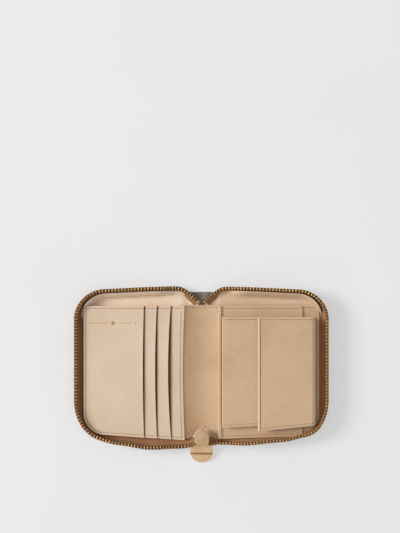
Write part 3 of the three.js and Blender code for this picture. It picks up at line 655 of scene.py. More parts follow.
def hole_shape():
    """The sunk hole that two stitches share: a small dimple, widened by the needle, coloured dark as painted
    shade of the hole.
    """
    bm = bmesh.new()
    bmesh.ops.create_uvsphere(bm, u_segments=8, v_segments=4, radius=0.5)
    bmesh.ops.scale(bm, vec=(HOLE_LENGTH, HOLE_W, HOLE_H), verts=bm.verts[:])
    for face in bm.faces:
        face.material_index = 1
    return bm


def kept(bm):
    """A finished template as a mesh that can be copied many times."""
    mesh = bpy.data.meshes.new("template")
    bm.to_mesh(mesh)
    bm.free()
    return mesh


STITCH = kept(stitch_shape())
NEEDLE_HOLE = kept(hole_shape())


def stamp_all(template_places):
    """A mesh of copies: each template at each of its places."""
    bm = bmesh.new()
    for template, places in template_places:
        for place in places:
            count = len(bm.verts)
            bm.from_mesh(template)
            bm.verts.ensure_lookup_table()
            bmesh.ops.transform(bm, matrix=place, verts=bm.verts[count:])
    return bm


def walked(line, pitch):
    """Evenly spaced points of a line, each with its heading."""
    lengths = [math.dist(a, b) for a, b in zip(line, line[1:])]
    total = sum(lengths)
    count = max(1, round(total / pitch))
    places, run, done = [], 0, 0.0
    for i in range(count):
        target = (i + 0.5) * total / count
        while run < len(lengths) - 1 and done + lengths[run] < target:
            done += lengths[run]
            run += 1
        a, b = line[run], line[run + 1]
        share = (target - done) / max(lengths[run], 1e-6)
        at = [p + (q - p) * share for p, q in zip(a, b)]
        places.append((at, math.atan2(b[1] - a[1], b[0] - a[0])))
    return places


def sewn(name, part, lines):
    """The stitches and needle holes of a leather part along the given lines."""
    threads, holes = [], []
    for line in lines:
        for at, heading in walked(line, STITCH_PITCH):
            turned = Matrix.Rotation(part.side * heading, 4, "Z")
            ahead = Vector((math.cos(heading), math.sin(heading)))
            mid = Vector(at) + ahead * STITCH_PITCH / 2
            x, hole_x = part.bowed(*at), part.bowed(*mid)
            threads.append(Matrix.Translation((part.side * x, at[1], part.top(*at) + 0.05)) @ turned)
            holes.append(Matrix.Translation((part.side * hole_x, mid.y, part.top(*mid) + 0.04)) @ turned)
    return finished(name, stamp_all([(STITCH, threads), (NEEDLE_HOLE, holes)]), THREAD, HOLE)


def refined(name, node, width, material, segments=2, angle=30):
    """A copy of a metal CAD part with its flat facets merged and its edges broken."""
    bm = bmesh.new()
    bm.from_mesh(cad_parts[node].data)
    bmesh.ops.scale(bm, vec=(1 / MM,) * 3, verts=bm.verts[:])
    bmesh.ops.remove_doubles(bm, verts=bm.verts[:], dist=0.002)
    bmesh.ops.dissolve_limit(bm, angle_limit=math.radians(1), verts=bm.verts[:], edges=bm.edges[:])
    edges = [e for e in bm.edges if len(e.link_faces) == 2 and e.calc_face_angle(0) > math.radians(angle)]
    bmesh.ops.bevel(bm, geom=edges, offset=width, segments=segments, profile=0.5,
                    affect="EDGES", clamp_overlap=True, material=-1)
    return finished(name, bm, material, sharp=35)


# ------------------------------------------------------------------ cover and linings

SIDES = ((-1, "left"), (1, "right"))


def make_shell(side, half):
    """One half of the outer cover with its share of the spine, as one soft sheet."""
    outline = CoverOutline(side, 0, COVER_REACH, -COVER_HALF, COVER_HALF, TAIL_CORNER, HEAD_CORNER)
    shell = Leather(outline, 0.0, COVER_TOP, side, slack=0.0)
    piece = finished(f"shell_{half}", shell.mesh(72, 64, ("tail", "fore", "head")), CANVAS)
    nodes = ["outer_cover_right", "outer_spine"] if side > 0 else ["outer_cover_left"]
    return across_fold(piece, f"{half}_half", "coated_canvas", *nodes)


def level_on(line, x):
    """The y at which a line of falling x passes the given x."""
    for (x0, y0), (x1, y1) in zip(line, line[1:]):
        if x1 <= x <= x0:
            return y0 + (y1 - y0) * (x0 - x) / max(x0 - x1, 1e-6)
    return line[-1][1]


LINING_SHORT = 4.0  # how far the lining stops short of the cover's edge


class NotchedOutline(CoverOutline):
    """The lining's outline: its head edge dips to the spine with the row of teeth.

    Its other edges end under the panels, inside the foot of the tape.
    """

    def tail(self, x):
        return super().tail(x) + LINING_SHORT * smooth_step(x, 11.0, 18.0)

    def place(self, u, v):
        x, y = super().place(u, v)
        shortened = smooth_step(x, 66.0, self.fore) * (1 - smooth_step(y, 24.0, 38.0))
        return x - (LINING_SHORT + 1.5) * shortened, y

    def depth(self, x, y, edges=ALL_EDGES):
        lowered = self.head_mid - slump(x)
        if x > self.head_x and y > lowered:
            return self.head_corner - math.hypot(x - self.head_x, y - lowered)
        return super().depth(x, y, edges)

    def head(self, x):
        if x >= JOIN_X:
            return super().head(x) - slump(x)
        return level_on(notch_line(ROW_OUT - LINING_BELOW_ROW), x)


LINING_EDGE_DROP = 2.3  # the lining's turned-up edge ends this far below the row of teeth


def lining_lift(outline):
    """The lining lies low on the spine, steps up on the half and turns up at its head edge."""
    spine_low = box_mm("spine_lining")[0].z
    half_low, half_high = (corner.z for corner in box_mm("lining_right"))

    def lift(x, y):
        sunk = (half_low - spine_low) * (1 - smooth_step(x, 9.0, 13.5))
        rise = row_level(x, 50) - LINING_EDGE_DROP - half_high
        near = 1 - smooth_step(outline.depth(x, y, ("head", "fore")), 0.2, 5.2)
        along = smooth_step(x, 6.0, 16.0) * smooth_step(y, 34.0, 46.0)
        return rise * near * along - sunk

    return lift


def make_lining(side, half):
    """The note compartment's lining, from the middle of the spine to the fore edge."""
    low, high = box_mm("lining_right")
    head = COVER_HALF + ROW_OUT - LINING_BELOW_ROW
    outline = NotchedOutline(side, 0, COVER_REACH - 0.3, -(COVER_HALF - 3.4), head,
                             TAIL_CORNER - 1.4, HEAD_CORNER + 0.5)
    lining = Leather(outline, low.z, high.z, side, lining_lift(outline), seams=("head",), slack=0.1)
    # the left lining's paler copy is painted light
    used = LINING_PAINTED_LIT if side < 0 else LEATHER_LINING
    piece = finished(f"note_lining_{half}", lining.mesh(72, 80, ("tail", "fore", "head")), used)
    nodes = [f"lining_{half}"] + (["spine_lining"] if side > 0 else [])
    across_fold(piece, f"{half}_half", "leather_lining", *nodes)
    row = [[(x, outline.head(x) - STITCH_IN - 1.2) for x in range(18, 69, 5)]]
    on_body(sewn(f"note_stitches_{half}", lining, row), f"{half}_half", "leather_lining")


# ------------------------------------------------------------------ zip

ROW_OUT = 2.6  # rows of teeth stand this far outside the cover's edge
TOOTH_PITCH = 2.25
ROW_LEVEL = 10.75  # middle of the teeth round the rim
ROW_LOW = 5.35  # and beside the spine
SLIDER_LEVEL = 9.0
MOUTH_X = 3.4  # where a row enters the slider
MOUTH_Y = -51.6
JOIN_X = 17.0  # where the rim's straight run meets the lead to the slider or the notch
NOTCH_X = 1.9  # bottom of the notch at the head
NOTCH_Y = 45.0
NOTCH_LEVEL = 4.1
LINING_BELOW_ROW = 1.7  # the row's middle to the lining's head edge


def row_height(x):
    """Height of a row's middle at a distance from the spine."""
    return ROW_LOW + (ROW_LEVEL - ROW_LOW) * smooth_step(x, 18.0, 32.0)


def bend(start, pull, end, steps):
    """Points of a quadratic bend that leaves start towards pull and arrives at end."""
    line = []
    for i in range(steps):
        t = i / steps
        line.append(tuple(a * (1 - t) ** 2 + 2 * b * t * (1 - t) + c * t * t
                          for a, b, c in zip(start, pull, end)))
    return line


def slump(x):
    """The soft wall of tape leans out less towards the corners of the head edge."""
    return 2.1 * smooth_step(x, 20.0, 82.0)


def worn(side, line):
    """The line of a row, drawn in as the soft wall of tape is in use."""
    return [(x, y - slump(x) * smooth_step(y, 0.0, 50.0) + tail_draw(side, x) * smooth_step(-y, 5.0, 45.0))
            for x, y in line]


def edge_line(out):
    """The right-hand cover edge moved out, from the tail join round to the head join."""
    reach, half = COVER_REACH + out, COVER_HALF + out
    tail, head = TAIL_CORNER + out, HEAD_CORNER + out
    line = [(JOIN_X + (reach - tail - JOIN_X) * i / 40, -half) for i in range(40)]
    for i in range(48):
        turn = math.pi / 2 * i / 48
        line.append((reach - tail + tail * math.sin(turn), -half + tail - tail * math.cos(turn)))
    line += [(reach, -half + tail + (2 * half - tail - head) * i / 40) for i in range(40)]
    for i in range(32):
        turn = math.pi / 2 * i / 32
        line.append((reach - head + head * math.cos(turn), half - head + head * math.sin(turn)))
    line += [(reach - head - (reach - head - JOIN_X) * i / 40, half) for i in range(41)]
    return line


def notch_line(out):
    """The row's line from the rim down into the notch at the head, moved out or in."""
    half, inward = COVER_HALF + out, ROW_OUT - out
    line = bend((JOIN_X, half, 0), (11.5, half, 0), (NOTCH_X, NOTCH_Y - inward, 0), 24)
    return [p[:2] for p in line] + [(NOTCH_X, NOTCH_Y - inward)]


def rim_line(side):
    """The row's line round a half, from the slider to the notch."""
    half = COVER_HALF + ROW_OUT
    lead = bend((MOUTH_X, MOUTH_Y, 0), (8.0, -half, 0), (JOIN_X, -half, 0), 24)
    return worn(side, [p[:2] for p in lead] + edge_line(ROW_OUT)) + notch_line(ROW_OUT)[1:]


def row_level(x, y):
    """Height of the row at a point of its line, with its ends at the slider and the notch."""
    level = row_height(x)
    if x > JOIN_X:
        return level
    end = SLIDER_LEVEL if y < 0 else NOTCH_LEVEL
    near = 1 - smooth_step(x, MOUTH_X, 12.0)
    return level + (end - level) * near


def tooth_shape():
    """One tooth: a broad jaw that stands on two short legs and has a dimple in its tip."""
    bm = bmesh.new()
    bmesh.ops.create_cube(bm, size=1)
    bmesh.ops.scale(bm, vec=(1.2, 2.5, 2.6), verts=bm.verts[:])
    tip = [face for face in bm.faces if face.normal.z > 0.9]
    bmesh.ops.scale(bm, vec=(0.72, 0.86, 1.0), verts=tip[0].verts[:])
    rim_edges = [edge for edge in bm.edges]
    bmesh.ops.bevel(bm, geom=rim_edges, offset=0.22, segments=1, profile=0.5, affect="EDGES", material=-1)
    tip = [face for face in bm.faces if face.normal.z > 0.95]
    bmesh.ops.inset_region(bm, faces=tip, thickness=0.16, depth=-0.22)
    return bm


def make_teeth(side, half):
    """A row of teeth from the slider round the rim and down into the notch."""
    line = [(side * x, y, row_level(x, y)) for x, y in rim_line(side)]
    places = []
    spots = walked(line, TOOTH_PITCH)
    shift = TOOTH_PITCH / 4 * side
    for index, (at, heading) in enumerate(spots):
        lean = noise.noise(Vector((index * 1.7, side * 5.0, 2.0)))
        ahead = Vector((math.cos(heading), math.sin(heading), 0)) * shift
        turn = Matrix.Rotation(heading + 0.05 * lean, 4, "Z") @ Matrix.Rotation(0.05 * lean, 4, "Y")
        rise = 0.06 * noise.noise(Vector((index * 0.9, 3.0, side)))
        places.append(Matrix.Translation(Vector(at) + ahead + Vector((0, 0, rise))) @ turn)
    teeth = finished(f"teeth_{half}", stamp_all([(TOOTH, places)]), BRASS, sharp=40)
    nodes = (f"zip_chain_{half}", f"zip_top_end_{half}")
    return across_fold(teeth, f"{half}_half", "zip_brass", *nodes)


def make_tape(side, half):
    """The standing wall of tape: it comes out from under the panels and turns up to the teeth."""
    line = rim_line(side)
    length = sum(math.dist(a, b) for a, b in zip(line, line[1:]))
    places = walked([line[0], *line, line[-1]], TAPE_STEP)
    bm = bmesh.new()
    strip = bm.loops.layers.uv.new("strip")
    bmesh.ops.create_grid(bm, x_segments=len(places) - 1, y_segments=12, size=0.5)
    for face in bm.faces:
        for loop in face.loops:
            loop[strip].uv = ((loop.vert.co.x + 0.5) * length, (loop.vert.co.y + 0.5) * TAPE_SHOWN)
    for vert in bm.verts:
        index = min(round((vert.co.x + 0.5) * (len(places) - 1)), len(places) - 1)
        vert.co = tape_point(places[index], index, vert.co.y + 0.5, side)
    cut_width = sum(face.calc_area() for face in bm.faces) / length
    bmesh.ops.recalc_face_normals(bm, faces=bm.faces[:])
    bmesh.ops.solidify(bm, geom=bm.faces[:], thickness=0.6)
    tape = finished(f"tape_{half}", bm, TAPE)
    across_fold(tape, f"{half}_half", "zip_tape", f"zip_tape_{half}")
    bead = make_bead(places, side, half)


BEAD_W = 2.1
BEAD_DROP = 0.95  # below the middle of the teeth


def make_bead(places, side, half):
    """The corded edge of the tape, which the teeth are clamped on."""
    bm = bmesh.new()
    bmesh.ops.create_grid(bm, x_segments=len(places) - 1, y_segments=4, size=0.5)
    for vert in bm.verts:
        index = min(round((vert.co.x + 0.5) * (len(places) - 1)), len(places) - 1)
        (x, y), heading = places[index]
        away = vert.co.y * BEAD_W
        z = row_level(x, y) - BEAD_DROP + 0.35 * math.cos(math.pi * vert.co.y)
        vert.co = (side * (x - math.sin(heading) * away), y + math.cos(heading) * away, z)
    bmesh.ops.recalc_face_normals(bm, faces=bm.faces[:])
    bmesh.ops.solidify(bm, geom=bm.faces[:], thickness=0.7)
    bead = finished(f"tape_bead_{half}", bm, CORD)
    return across_fold(bead, f"{half}_half", "zip_tape")


TAPE_STEP = 2.0
TAPE_SHOWN = 12.0  # width the weave is laid out over; the tape itself is about 11 wide


TAPE_FOOT_IN = 3.5  # the tape's foot stands this far inside the row
TAPE_FOOT_MORE = 4.6  # and this much further in, away from the spine and the head
TAPE_FOOT_UP = 0.45  # foot above the cover's top
TAPE_TOP_DROP = 0.35  # top edge below the middle of the teeth
TAPE_WAVE = 0.22  # the wall wanders by up to this much


def tape_point(place, index, share, side):
    """A point of the tape wall at a share of its height."""
    (x, y), heading = place
    at_head = smooth_step(y, 20.0, 40.0)
    inward = TAPE_FOOT_IN + TAPE_FOOT_MORE * (1 - at_head) * smooth_step(x, 4.0, 16.0)
    foot_z = COVER_TOP + TAPE_FOOT_UP
    top_z = row_level(x, y) - TAPE_TOP_DROP
    back = inward * (1 - smooth_step(share, 0.0, 0.66))
    wave = TAPE_WAVE * noise.noise(Vector((index * 0.22, side * 3.0, 0.0))) * math.sin(math.pi * share)
    x += -math.sin(heading) * back + wave
    y += math.cos(heading) * back + wave
    return side * x, y, foot_z + (top_z - foot_z) * share ** 1.5


TOOTH = kept(tooth_shape())


def make_zip_ends():
    """Stops and engaged teeth at both ends of the zip."""
    for _, half in SIDES:
        stop = refined(f"top_stop_{half}", f"zip_top_stop_{half}", 0.25, BRASS)
        on_body(stop, "spine", "zip_brass", f"zip_top_stop_{half}")
    chain = refined("engaged_teeth", "zip_chain_end", 0.18, BRASS, segments=1)
    on_body(chain, "zip_end", "zip_brass", "zip_chain_end")
    stop = refined("bottom_stop", "zip_bottom_stop", 0.35, BRASS)
    on_body(stop, "zip_end", "zip_brass", "zip_bottom_stop")


def make_slider():
    """Slider, bridge and pull, with their edges rounded over."""
    body = refined("slider_plates", "slider_body", 0.32, GOLD, segments=3, angle=50)
    on_body(body, "slider", "slider_gold", "slider_body")
    bridge = refined("slider_loop", "slider_bridge", 0.22, GOLD)
    on_body(bridge, "slider", "slider_gold", "slider_bridge")
    pull = refined("round_pull", "pull_disc", 0.16, PULL_GOLD_PAINTED_BRIGHT, segments=3, angle=40)
    paint_groove_shade(pull)
    on_body(pull, "pull", "slider_gold", "pull_disc")


def paint_groove_shade(pull):
    """Gives the groove's floor a darker gold as painted shade: it lies just under the pull's upper face."""
    faces = pull.data.polygons
    upward = max(faces, key=lambda face: face.area * (face.normal.z > 0)).normal.copy()
    surface = max(face.center.dot(upward) for face in faces)
    pull.data.materials.append(GROOVE_SHADE_GOLD)
    for face in faces:
        sunk = surface - face.center.dot(upward)
        if face.normal.dot(upward) > 0.99 and 0.15 * MM < sunk < 0.6 * MM:
            face.material_index = 1


# ------------------------------------------------------------------ panels and card pockets


def panel_outline(side, inner):
    """The outline of an interior panel or of a pocket on it."""
    return Outline(inner, PANEL_REACH, PANEL_TAIL - TAIL_SAG[side], PANEL_HEAD - HEAD_SAG[side],
                   TAIL_ROUND[side], PANEL_HEAD_CORNER, TAIL_RISE[side], LAYER_START)


def mouth_lift(mouth, proud, reach):
    """A pocket's mouth stands proud in the middle and is held flat at its sewn ends."""

    def lift(x, y):
        middle = max(1 - ((y + 2) / 46.5) ** 2, 0.0) ** 1.3
        return proud * middle * math.exp(-max(x - mouth, 0.0) / reach)

    return lift


def make_base_panel(side, half, leather_used, slot):
    """The panel that the pockets are sewn to. It forms the note compartment with the lining."""
    outline = panel_outline(side, LAYER_START)
    bow = 1.2 if side < 0 else 0.0
    panel = Leather(outline, panel_low.z, panel_high.z, side, seams=("tail", "fore", "head"), bow=bow)
    piece = finished(f"panel_{half}", panel.mesh(), leather_used)
    on_body(piece, f"{half}_half", slot, f"base_panel_{half}")
    return panel


MOUTH_BOW = {1: 2.0, 2: 1.3, 3: 0.8}  # mm that each mouth gives way in its middle


def make_pocket_mouth_shadow(level, mouth, low, lift):
    """A dark strip that shows past a pocket's leather mouth: painted shadow of the gap under the lifted
    mouth.
    """
    outline = panel_outline(-1, mouth - 0.55)
    outline.fore = mouth + 6
    outline.tail_corner = outline.head_corner = 0.01
    outline.tail_x = outline.head_x = outline.fore
    strip = Leather(outline, low - 0.26, low - 0.06, -1, lambda x, y: 0.8 * lift(max(x, mouth), y),
                    slack=0.0, bow=0.4 * MOUTH_BOW[level])
    piece = finished(f"pocket_mouth_shadow_{level}", strip.mesh(8, 72), POCKET_MOUTH_SHADOW)
    on_body(piece, "left_half", "leather_pale")


def make_card_pockets():
    """Three stepped card pockets, the topmost the narrowest, their mouths towards the spine."""
    base = make_base_panel(-1, "left", LEATHER_PALE_AND_LIT, "leather_pale")
    parts = [base]
    for level in (1, 2, 3):
        low, high = box_mm(f"card_pocket_left_{level}")
        mouth = -high.x
        lift = mouth_lift(mouth, 0.8, 7.0)
        pocket = Leather(panel_outline(-1, mouth), low.z, high.z, -1, lift,
                         seams=("tail", "fore", "head"), puff=0.12, bow=MOUTH_BOW[level])
        piece = finished(f"card_pocket_{level}", pocket.mesh(), LEATHER_PALE_AND_LIT)
        on_body(piece, "left_half", "leather_pale", f"card_pocket_left_{level}")
        make_pocket_mouth_shadow(level, mouth, low.z, lift)
        parts.append(pocket)
    top = parts[-1]
    lines = top.outline.seam(STITCH_IN, ("tail", "fore", "head"), short=0.8)
    on_body(sewn("card_half_stitches", top, lines), "left_half", "leather_pale")
    for index, part in enumerate(parts[:-1]):
        stop = parts[index + 1].outline.inner
        start = part.outline.inner + 0.8
        rows = [[(x, part.outline.head_y - STITCH_IN) for x in (start, stop - 0.9)],
                [(x, part.outline.tail(x) + STITCH_IN) for x in (start, (start + stop) / 2, stop - 0.9)]]
        if index == 0:
            rows.append([(LAYER_START + 2.4, part.outline.head_y - 3.2 - i * 4.4) for i in range(21)])
        on_body(sewn(f"step_stitches_{index + 1}", part, rows), "left_half", "leather_pale")
    return top


def make_foil_mark(part):
    """A plain gilt rule with a small diamond in its middle and a dot at each end."""
    bm = bmesh.new()
    middle_x, y = 61.5, 31.0
    pieces = [(-9.3, 10.6, 0.36, 0.0), (9.3, 10.6, 0.36, 0.0), (0.0, 2.3, 2.3, math.pi / 4),
              (-15.6, 0.9, 0.9, math.pi / 4), (15.6, 0.9, 0.9, math.pi / 4)]
    for away, width, height, turn in pieces:
        made = bmesh.ops.create_grid(bm, x_segments=1, y_segments=1, size=0.5)["verts"]
        bmesh.ops.scale(bm, vec=(width, height, 1), verts=made)
        bmesh.ops.rotate(bm, matrix=Matrix.Rotation(turn, 3, "Z"), verts=made)
        x = middle_x - away
        bmesh.ops.translate(bm, vec=(-x, y, part.top(x, y) + 0.05), verts=made)
    solid = bmesh.ops.extrude_face_region(bm, geom=bm.faces[:])["geom"]
    lower = [item for item in solid if isinstance(item, bmesh.types.BMVert)]
    bmesh.ops.translate(bm, vec=(0, 0, -0.15), verts=lower)
    on_body(finished("foil_rule", bm, FOIL), "left_half", "zip_brass")


ARCH_TOP = -42.6
ARCH_HALF = 9.4


class ArchedOutline(Outline):
    """The spine leather's outline, its tail edge arched over the slider."""

    def tail_line(self, x):
        rise = (1 + math.cos(math.pi * min(x / ARCH_HALF, 1.0))) / 2
        return self.tail_y + (ARCH_TOP - self.tail_y) * rise ** 0.6

    def depth(self, x, y, edges=ALL_EDGES):
        near = min(math.hypot(x - i / 2, y - self.tail_line(i / 2)) for i in range(-4, 32))
        return min(near, self.head_y - y)


def offset_row(line, inset):
    """A line moved to its left by a distance."""
    moved = []
    for (x0, y0), (x1, y1) in zip(line, line[1:]):
        run = math.dist((x0, y0), (x1, y1))
        moved.append(((x0 + x1) / 2 - (y1 - y0) / run * inset, (y0 + y1) / 2 + (x1 - x0) / run * inset))
    return moved


def make_spine_leather(side, half):
    """One side of the leather over the spine, arched at its tail round the slider."""
    low, high = box_mm("spine_panel")
    outline = ArchedOutline(0, LAYER_START + 3, PANEL_TAIL - TAIL_SAG[1], PANEL_HEAD - HEAD_SAG[1],
                            0.01, 0.01)

    def lift(x, y):
        return 1.9 * min(x / LAYER_START, 1.0) ** 2 - 0.65

    part = Leather(outline, low.z, high.z, side, lift, seams=("head", "tail"), slack=0.08)
    piece = finished(f"spine_leather_{half}", part.mesh(48, 96, ("tail", "head")), LEATHER_SPINE)
    nodes = ["spine_panel"] if side > 0 else []
    across_fold(piece, f"{half}_half", "leather_tan", *nodes)
    arch = [(i / 4, outline.tail_line(i / 4)) for i in range(0, 47)]
    seam_y = outline.head_y - STITCH_IN
    rows = [[(0.4, seam_y), (LAYER_START - 0.8, seam_y)],
            [point for point in offset_row(arch, STITCH_IN) if point[0] > 0.2]]
    stitches = sewn(f"spine_stitches_{half}", part, rows)
    across_fold(stitches, f"{half}_half", "leather_tan")


# ------------------------------------------------------------------ coin half


class BacklessOutline(Outline):
    """The outline of a pocket that ends short of the fore edge and shares its panel's tail edge."""

    def __init__(self, panel, inner, fore, head):
        self.panel = panel
        super().__init__(inner, fore, panel.tail_y, head, 0.01, 0.01)

    def tail_line(self, x):
        return self.panel.tail_line(x)

    def tail(self, x):
        return self.panel.tail(x)


def make_coin_half():
    """Card pocket, edge band and coin pouch of the right half."""
    base = make_base_panel(1, "right", LEATHER_TAN, "leather_tan")
    low, high = box_mm("card_pocket_right")
    mouth = high.x

    def fore_lift(x, y):
        middle = max(1 - ((y + 2) / 46.5) ** 2, 0.0)
        return 0.5 * middle * math.exp(-max(mouth - x, 0.0) / 6.0)

    outline = BacklessOutline(base.outline, low.x, mouth, high.y - HEAD_SAG[1])
    pocket = Leather(outline, low.z, high.z, 1, fore_lift, seams=("tail", "head"))
    piece = finished("right_card_pocket", pocket.mesh(), LEATHER_TAN)
    on_body(piece, "right_half", "leather_tan", "card_pocket_right")
    seam_y = outline.head_y - STITCH_IN
    rows = [[(low.x + 2.4, seam_y), (mouth - 1.2, seam_y)],
            [(x, outline.tail(x) + STITCH_IN) for x in range(16, int(mouth) - 1, 3)]]
    on_body(sewn("right_pocket_stitches", pocket, rows), "right_half", "leather_tan")
    panel = base.outline
    fore_x, radius = PANEL_REACH - STITCH_IN, panel.tail_corner - STITCH_IN
    beyond = [[(mouth + 1, panel.head_y - STITCH_IN), (PANEL_REACH - 4, panel.head_y - STITCH_IN)]]
    beyond += [[(fore_x, panel.head_y - 4), (fore_x, panel.tail_mid)]]
    corner = [(panel.tail_x + radius * math.cos(a), panel.tail_mid - radius * math.sin(a))
              for a in [math.pi / 2 * i / 12 for i in range(9)]]
    beyond.append(corner)
    on_body(sewn("panel_stitches_right", base, beyond), "right_half", "leather_tan")
    make_edge_band()
    make_pouch()
    make_flap()


def make_edge_band():
    """The folded binding along the inner edge of the pockets."""
    low, high = box_mm("edge_band")
    tail, head = PANEL_TAIL - TAIL_SAG[1] + 0.1, high.y - HEAD_SAG[1]
    outline = Outline(LAYER_START - 0.1, LAYER_START + 2.6, tail, head, 0.01, 0.01)
    band = Leather(outline, low.z, high.z + 0.2, 1, slack=0.05)
    piece = finished("edge_binding", band.mesh(14, 90), LEATHER_TAN)
    on_body(piece, "right_half", "leather_tan", "edge_band")
    row = [[(LAYER_START + 2.0, tail + 1.4), (LAYER_START + 2.0, head - 1.2)]]
    on_body(sewn("binding_stitches", band, row), "right_half", "leather_tan")


def tapered_outline(inner, fore, tail_inner, tail_fore, head, corner):
    """An outline whose tail edge rises evenly from its inner to its fore edge."""
    return Outline(inner, fore, tail_inner, head, corner, corner, tail_fore - tail_inner, inner)


def make_pouch():
    """The coin pouch: back, fore wall, folded gussets and a front on a body of its own."""
    low, high = box_mm("coin_pouch_back")
    tail_fore = low.y + 3.4
    back = Leather(tapered_outline(low.x, high.x, low.y, tail_fore, high.y, 3), low.z, high.z)
    piece = finished("pouch_back", back.mesh(40, 48), LEATHER_TAN)
    on_body(piece, "right_half", "leather_tan", "coin_pouch_back")
    wall_low, wall_high = box_mm("coin_pouch_wall")
    wall_bm = bmesh.new()
    bmesh.ops.create_cube(wall_bm, size=1)
    size = wall_high - wall_low
    bmesh.ops.scale(wall_bm, vec=size, verts=wall_bm.verts[:])
    long_edges = [e for e in wall_bm.edges if abs((e.verts[0].co - e.verts[1].co).y) > 1]
    bmesh.ops.subdivide_edges(wall_bm, edges=long_edges,
                              cuts=24, use_grid_fill=True)
    bmesh.ops.translate(wall_bm, vec=(wall_low + wall_high) / 2, verts=wall_bm.verts[:])
    for vert in wall_bm.verts:
        vert.co.x += 0.12 * noise.noise(Vector((0, vert.co.y / 9, 1)))
    wall = finished("pouch_fore_wall", wall_bm, LEATHER_TAN)
    on_body(wall, "right_half", "leather_tan", "coin_pouch_wall")
    for end in ("head", "tail"):
        make_gusset(end)
    low, high = box_mm("coin_pouch_front")
    share = (high.x - low.x) / (box_mm("coin_pouch_back")[1].x - low.x)
    outline = tapered_outline(low.x, high.x, low.y, low.y + 3.4 * share, high.y, 1.2)
    front = Leather(outline, low.z, high.z, 1, seams=("tail", "head"), puff=0.15, slack=0.2)
    piece = finished("pouch_front", front.mesh(), LEATHER_TAN)
    on_body(piece, "coin_front", "leather_tan", "coin_pouch_front")
    lines = outline.seam(STITCH_IN, ("tail",), short=1) + [
        [(low.x + STITCH_IN, high.y - STITCH_IN), (high.x - 1, high.y - STITCH_IN)]]
    on_body(sewn("pouch_front_stitches", front, lines), "coin_front", "leather_tan")


def make_gusset(end):
    """A gusset folded like bellows, held by the pouch's back and by its front."""
    low, high = box_mm(f"coin_gusset_{end}")
    front_low = box_mm("coin_pouch_front")[0].z
    back_high = box_mm("coin_pouch_back")[1].z
    outward = 1 if end == "head" else -1
    bm = bmesh.new()
    folds = 12
    bmesh.ops.create_grid(bm, x_segments=30, y_segments=folds, size=0.5)
    slope = 0.0 if end == "head" else 3.4 / 64.6
    for vert in bm.verts:
        u, v = vert.co.x + 0.5, vert.co.y + 0.5
        x = low.x + (high.x - low.x) * u
        edge = high.y - 0.1 if end == "head" else low.y + 0.1 + slope * (x - low.x)
        fold = 0.75 * (0.5 + 0.5 * math.cos(4 * math.pi * v))
        vert.co = (x, edge - outward * (0.3 + fold), back_high + (front_low - back_high) * v)
    bmesh.ops.recalc_face_normals(bm, faces=bm.faces[:])
    bmesh.ops.solidify(bm, geom=bm.faces[:], thickness=0.25)
    gusset = finished(f"gusset_{end}", bm, LEATHER_TAN, sharp=75)
    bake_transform(gusset)
    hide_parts(f"coin_gusset_{end}")


def make_flap():
    """The flap: outer leather with a turned free edge, lining, fore fold and press fastener."""
    low, high = box_mm("coin_flap")
    inner, fore = low.x, high.x

    def lift(x, y):
        droop = 0.9 * smooth_step(x, fore - 3.0, fore) ** 2
        ease = 0.35 * smooth_step(inner + 14 - x, 0, 14)
        return ease - droop

    outline = tapered_outline(inner, fore, low.y, low.y + 3.9, high.y, 2)
    flap = Leather(outline, low.z, high.z, 1, lift, seams=("inner", "tail", "head"), puff=0.2, slack=0.25)
    piece = finished("flap_leather", flap.mesh(64, 80), LEATHER_TAN)
    on_body(piece, "coin_flap", "leather_tan", "coin_flap")
    lines = outline.seam(STITCH_IN, ("tail", "inner"), short=2) + [
        [(inner + STITCH_IN, high.y - STITCH_IN), (fore - 3, high.y - STITCH_IN)]]
    on_body(sewn("flap_stitches", flap, lines), "coin_flap", "leather_tan")
    make_turned_edge(flap, inner)
    low, high = box_mm("coin_flap_lining")
    inside = tapered_outline(low.x, high.x, low.y, low.y + 5.0, high.y, 2.7)
    lining = Leather(inside, low.z, high.z, 1, slack=0.0)
    piece = finished("flap_lining", lining.mesh(40, 48), LEATHER_LINING)
    on_body(piece, "coin_flap", "leather_lining", "coin_flap_lining")
    make_flap_fold(fore)
    stud = refined("stud", "snap_stud", 0.2, BRASS, segments=3)
    on_body(stud, "coin_front", "zip_brass", "snap_stud")
    socket = refined("socket", "snap_socket", 0.25, BRASS, segments=3)
    on_body(socket, "coin_flap", "zip_brass", "snap_socket")


def make_turned_edge(flap, inner):
    """The free edge of the flap, turned over into a narrow strip in the paler leather, which paints a
    highlight along it.
    """
    y0, y1 = flap.outline.tail_y + 0.2, flap.outline.head_y - 0.2
    strip = Outline(inner - 0.15, inner + 1.35, y0, y1, 0.01, 0.01)
    part = Leather(strip, flap.high + 0.2, flap.high + 0.62, 1, lambda x, y: 0.12, slack=0.04)
    # painted highlight: the turned edge gets the paler leather of the left half
    piece = finished("flap_turned_edge", part.mesh(12, 80), LEATHER_PALE_AND_LIT)
    on_body(piece, "coin_flap", "leather_tan")


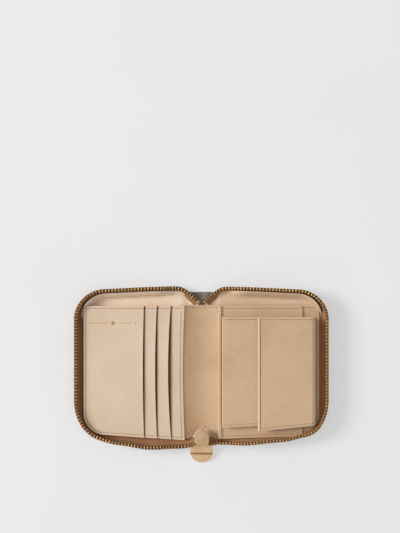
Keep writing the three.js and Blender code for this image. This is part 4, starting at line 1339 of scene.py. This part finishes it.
def make_flap_fold(fore):
    """The soft fold at the fore edge."""
    wall_low, wall_high = box_mm("coin_pouch_wall")
    bm = bmesh.new()
    bmesh.ops.create_grid(bm, x_segments=60, y_segments=14, size=0.5)
    y0, y1 = wall_low.y + 1.0, wall_high.y - 0.5
    for vert in bm.verts:
        u, v = vert.co.x + 0.5, vert.co.y + 0.5
        y = y0 + (y1 - y0) * u
        turn = math.pi / 2 * smooth_step(v, 0.35, 1.0)
        x = fore - 0.45 + 0.75 * math.cos(turn) - 1.6 * smooth_step(v, 0.75, 1.0)
        z = wall_low.z + (wall_high.z - wall_low.z) * min(v / 0.5, 1.0) + 1.75 * math.sin(turn)
        slack = 0.1 * noise.noise(Vector((0, y / 7, v)))
        vert.co = (x + slack, y, z)
    bmesh.ops.recalc_face_normals(bm, faces=bm.faces[:])
    bmesh.ops.solidify(bm, geom=bm.faces[:], thickness=0.4)
    fold = finished("flap_fold", bm, LEATHER_TAN, sharp=80)
    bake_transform(fold)


# ------------------------------------------------------------------ build

for side, half in SIDES:
    make_shell(side, half)
    make_lining(side, half)
    make_teeth(side, half)
    make_tape(side, half)
    make_spine_leather(side, half)
    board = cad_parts[f"cover_board_{half}"]
    board.data.materials.clear()
    board.data.materials.append(BOARD)
make_zip_ends()
make_slider()
make_foil_mark(make_card_pockets())
make_coin_half()

# ------------------------------------------------------------------ floor, light, camera


FLOOR_GLOW = 0.44  # the floor is a light table, so shadows on it are faint


def make_floor():
    """A wide pale floor under the wallet, lit a little from below."""
    bm = bmesh.new()
    bmesh.ops.create_grid(bm, x_segments=1, y_segments=1, size=1500)
    made, tree, shader, place = blank_material("pale_floor")
    cloud = noise_value(tree, place, 6.0, 2.0)
    base = mix_colour(tree, ramp(tree, cloud, 0.3, 0.7), linear("#a9a9a9"), linear("#a6a6a6"))
    tree.links.new(base, shader.inputs["Base Color"])
    shader.inputs["Roughness"].default_value = 0.9
    shader.inputs["Specular IOR Level"].default_value = 0.2
    shader.inputs["Emission Color"].default_value = (1, 1, 1, 1)
    shader.inputs["Emission Strength"].default_value = FLOOR_GLOW
    floor = finished("floor", bm, made)


def area_light(name, place, size, power, colour=(1, 1, 1)):
    """A soft square light that looks at the middle of the wallet."""
    data = bpy.data.lights.new(name, "AREA")
    data.size = size
    data.energy = power
    data.color = colour
    light = bpy.data.objects.new(name, data)
    light.location = place
    light.rotation_euler = (-Vector(place)).to_track_quat("-Z", "Y").to_euler()
    bpy.context.scene.collection.objects.link(light)


def make_light():
    area_light("key", (-2.4, 0.45, 1.5), 1.0, 68.0)
    area_light("fill", (0.7, -0.7, 1.2), 1.2, 1.2)
    world = bpy.data.worlds.new("studio")
    world.use_nodes = True
    world.node_tree.nodes["Background"].inputs[0].default_value = (0.96, 0.98, 1.0, 1)
    world.node_tree.nodes["Background"].inputs[1].default_value = 0.5
    bpy.context.scene.world = world


def make_camera():
    """A camera straight above, a little towards the head."""
    data = bpy.data.cameras.new("above")
    data.lens = 100
    data.sensor_width = 36
    camera = bpy.data.objects.new("above", data)
    camera.location = (-0.00105, 0.07035, 1.036)
    bpy.context.scene.collection.objects.link(camera)
    bpy.context.scene.camera = camera


make_floor()
make_light()
make_camera()
bpy.context.scene.view_settings.view_transform = "Standard"
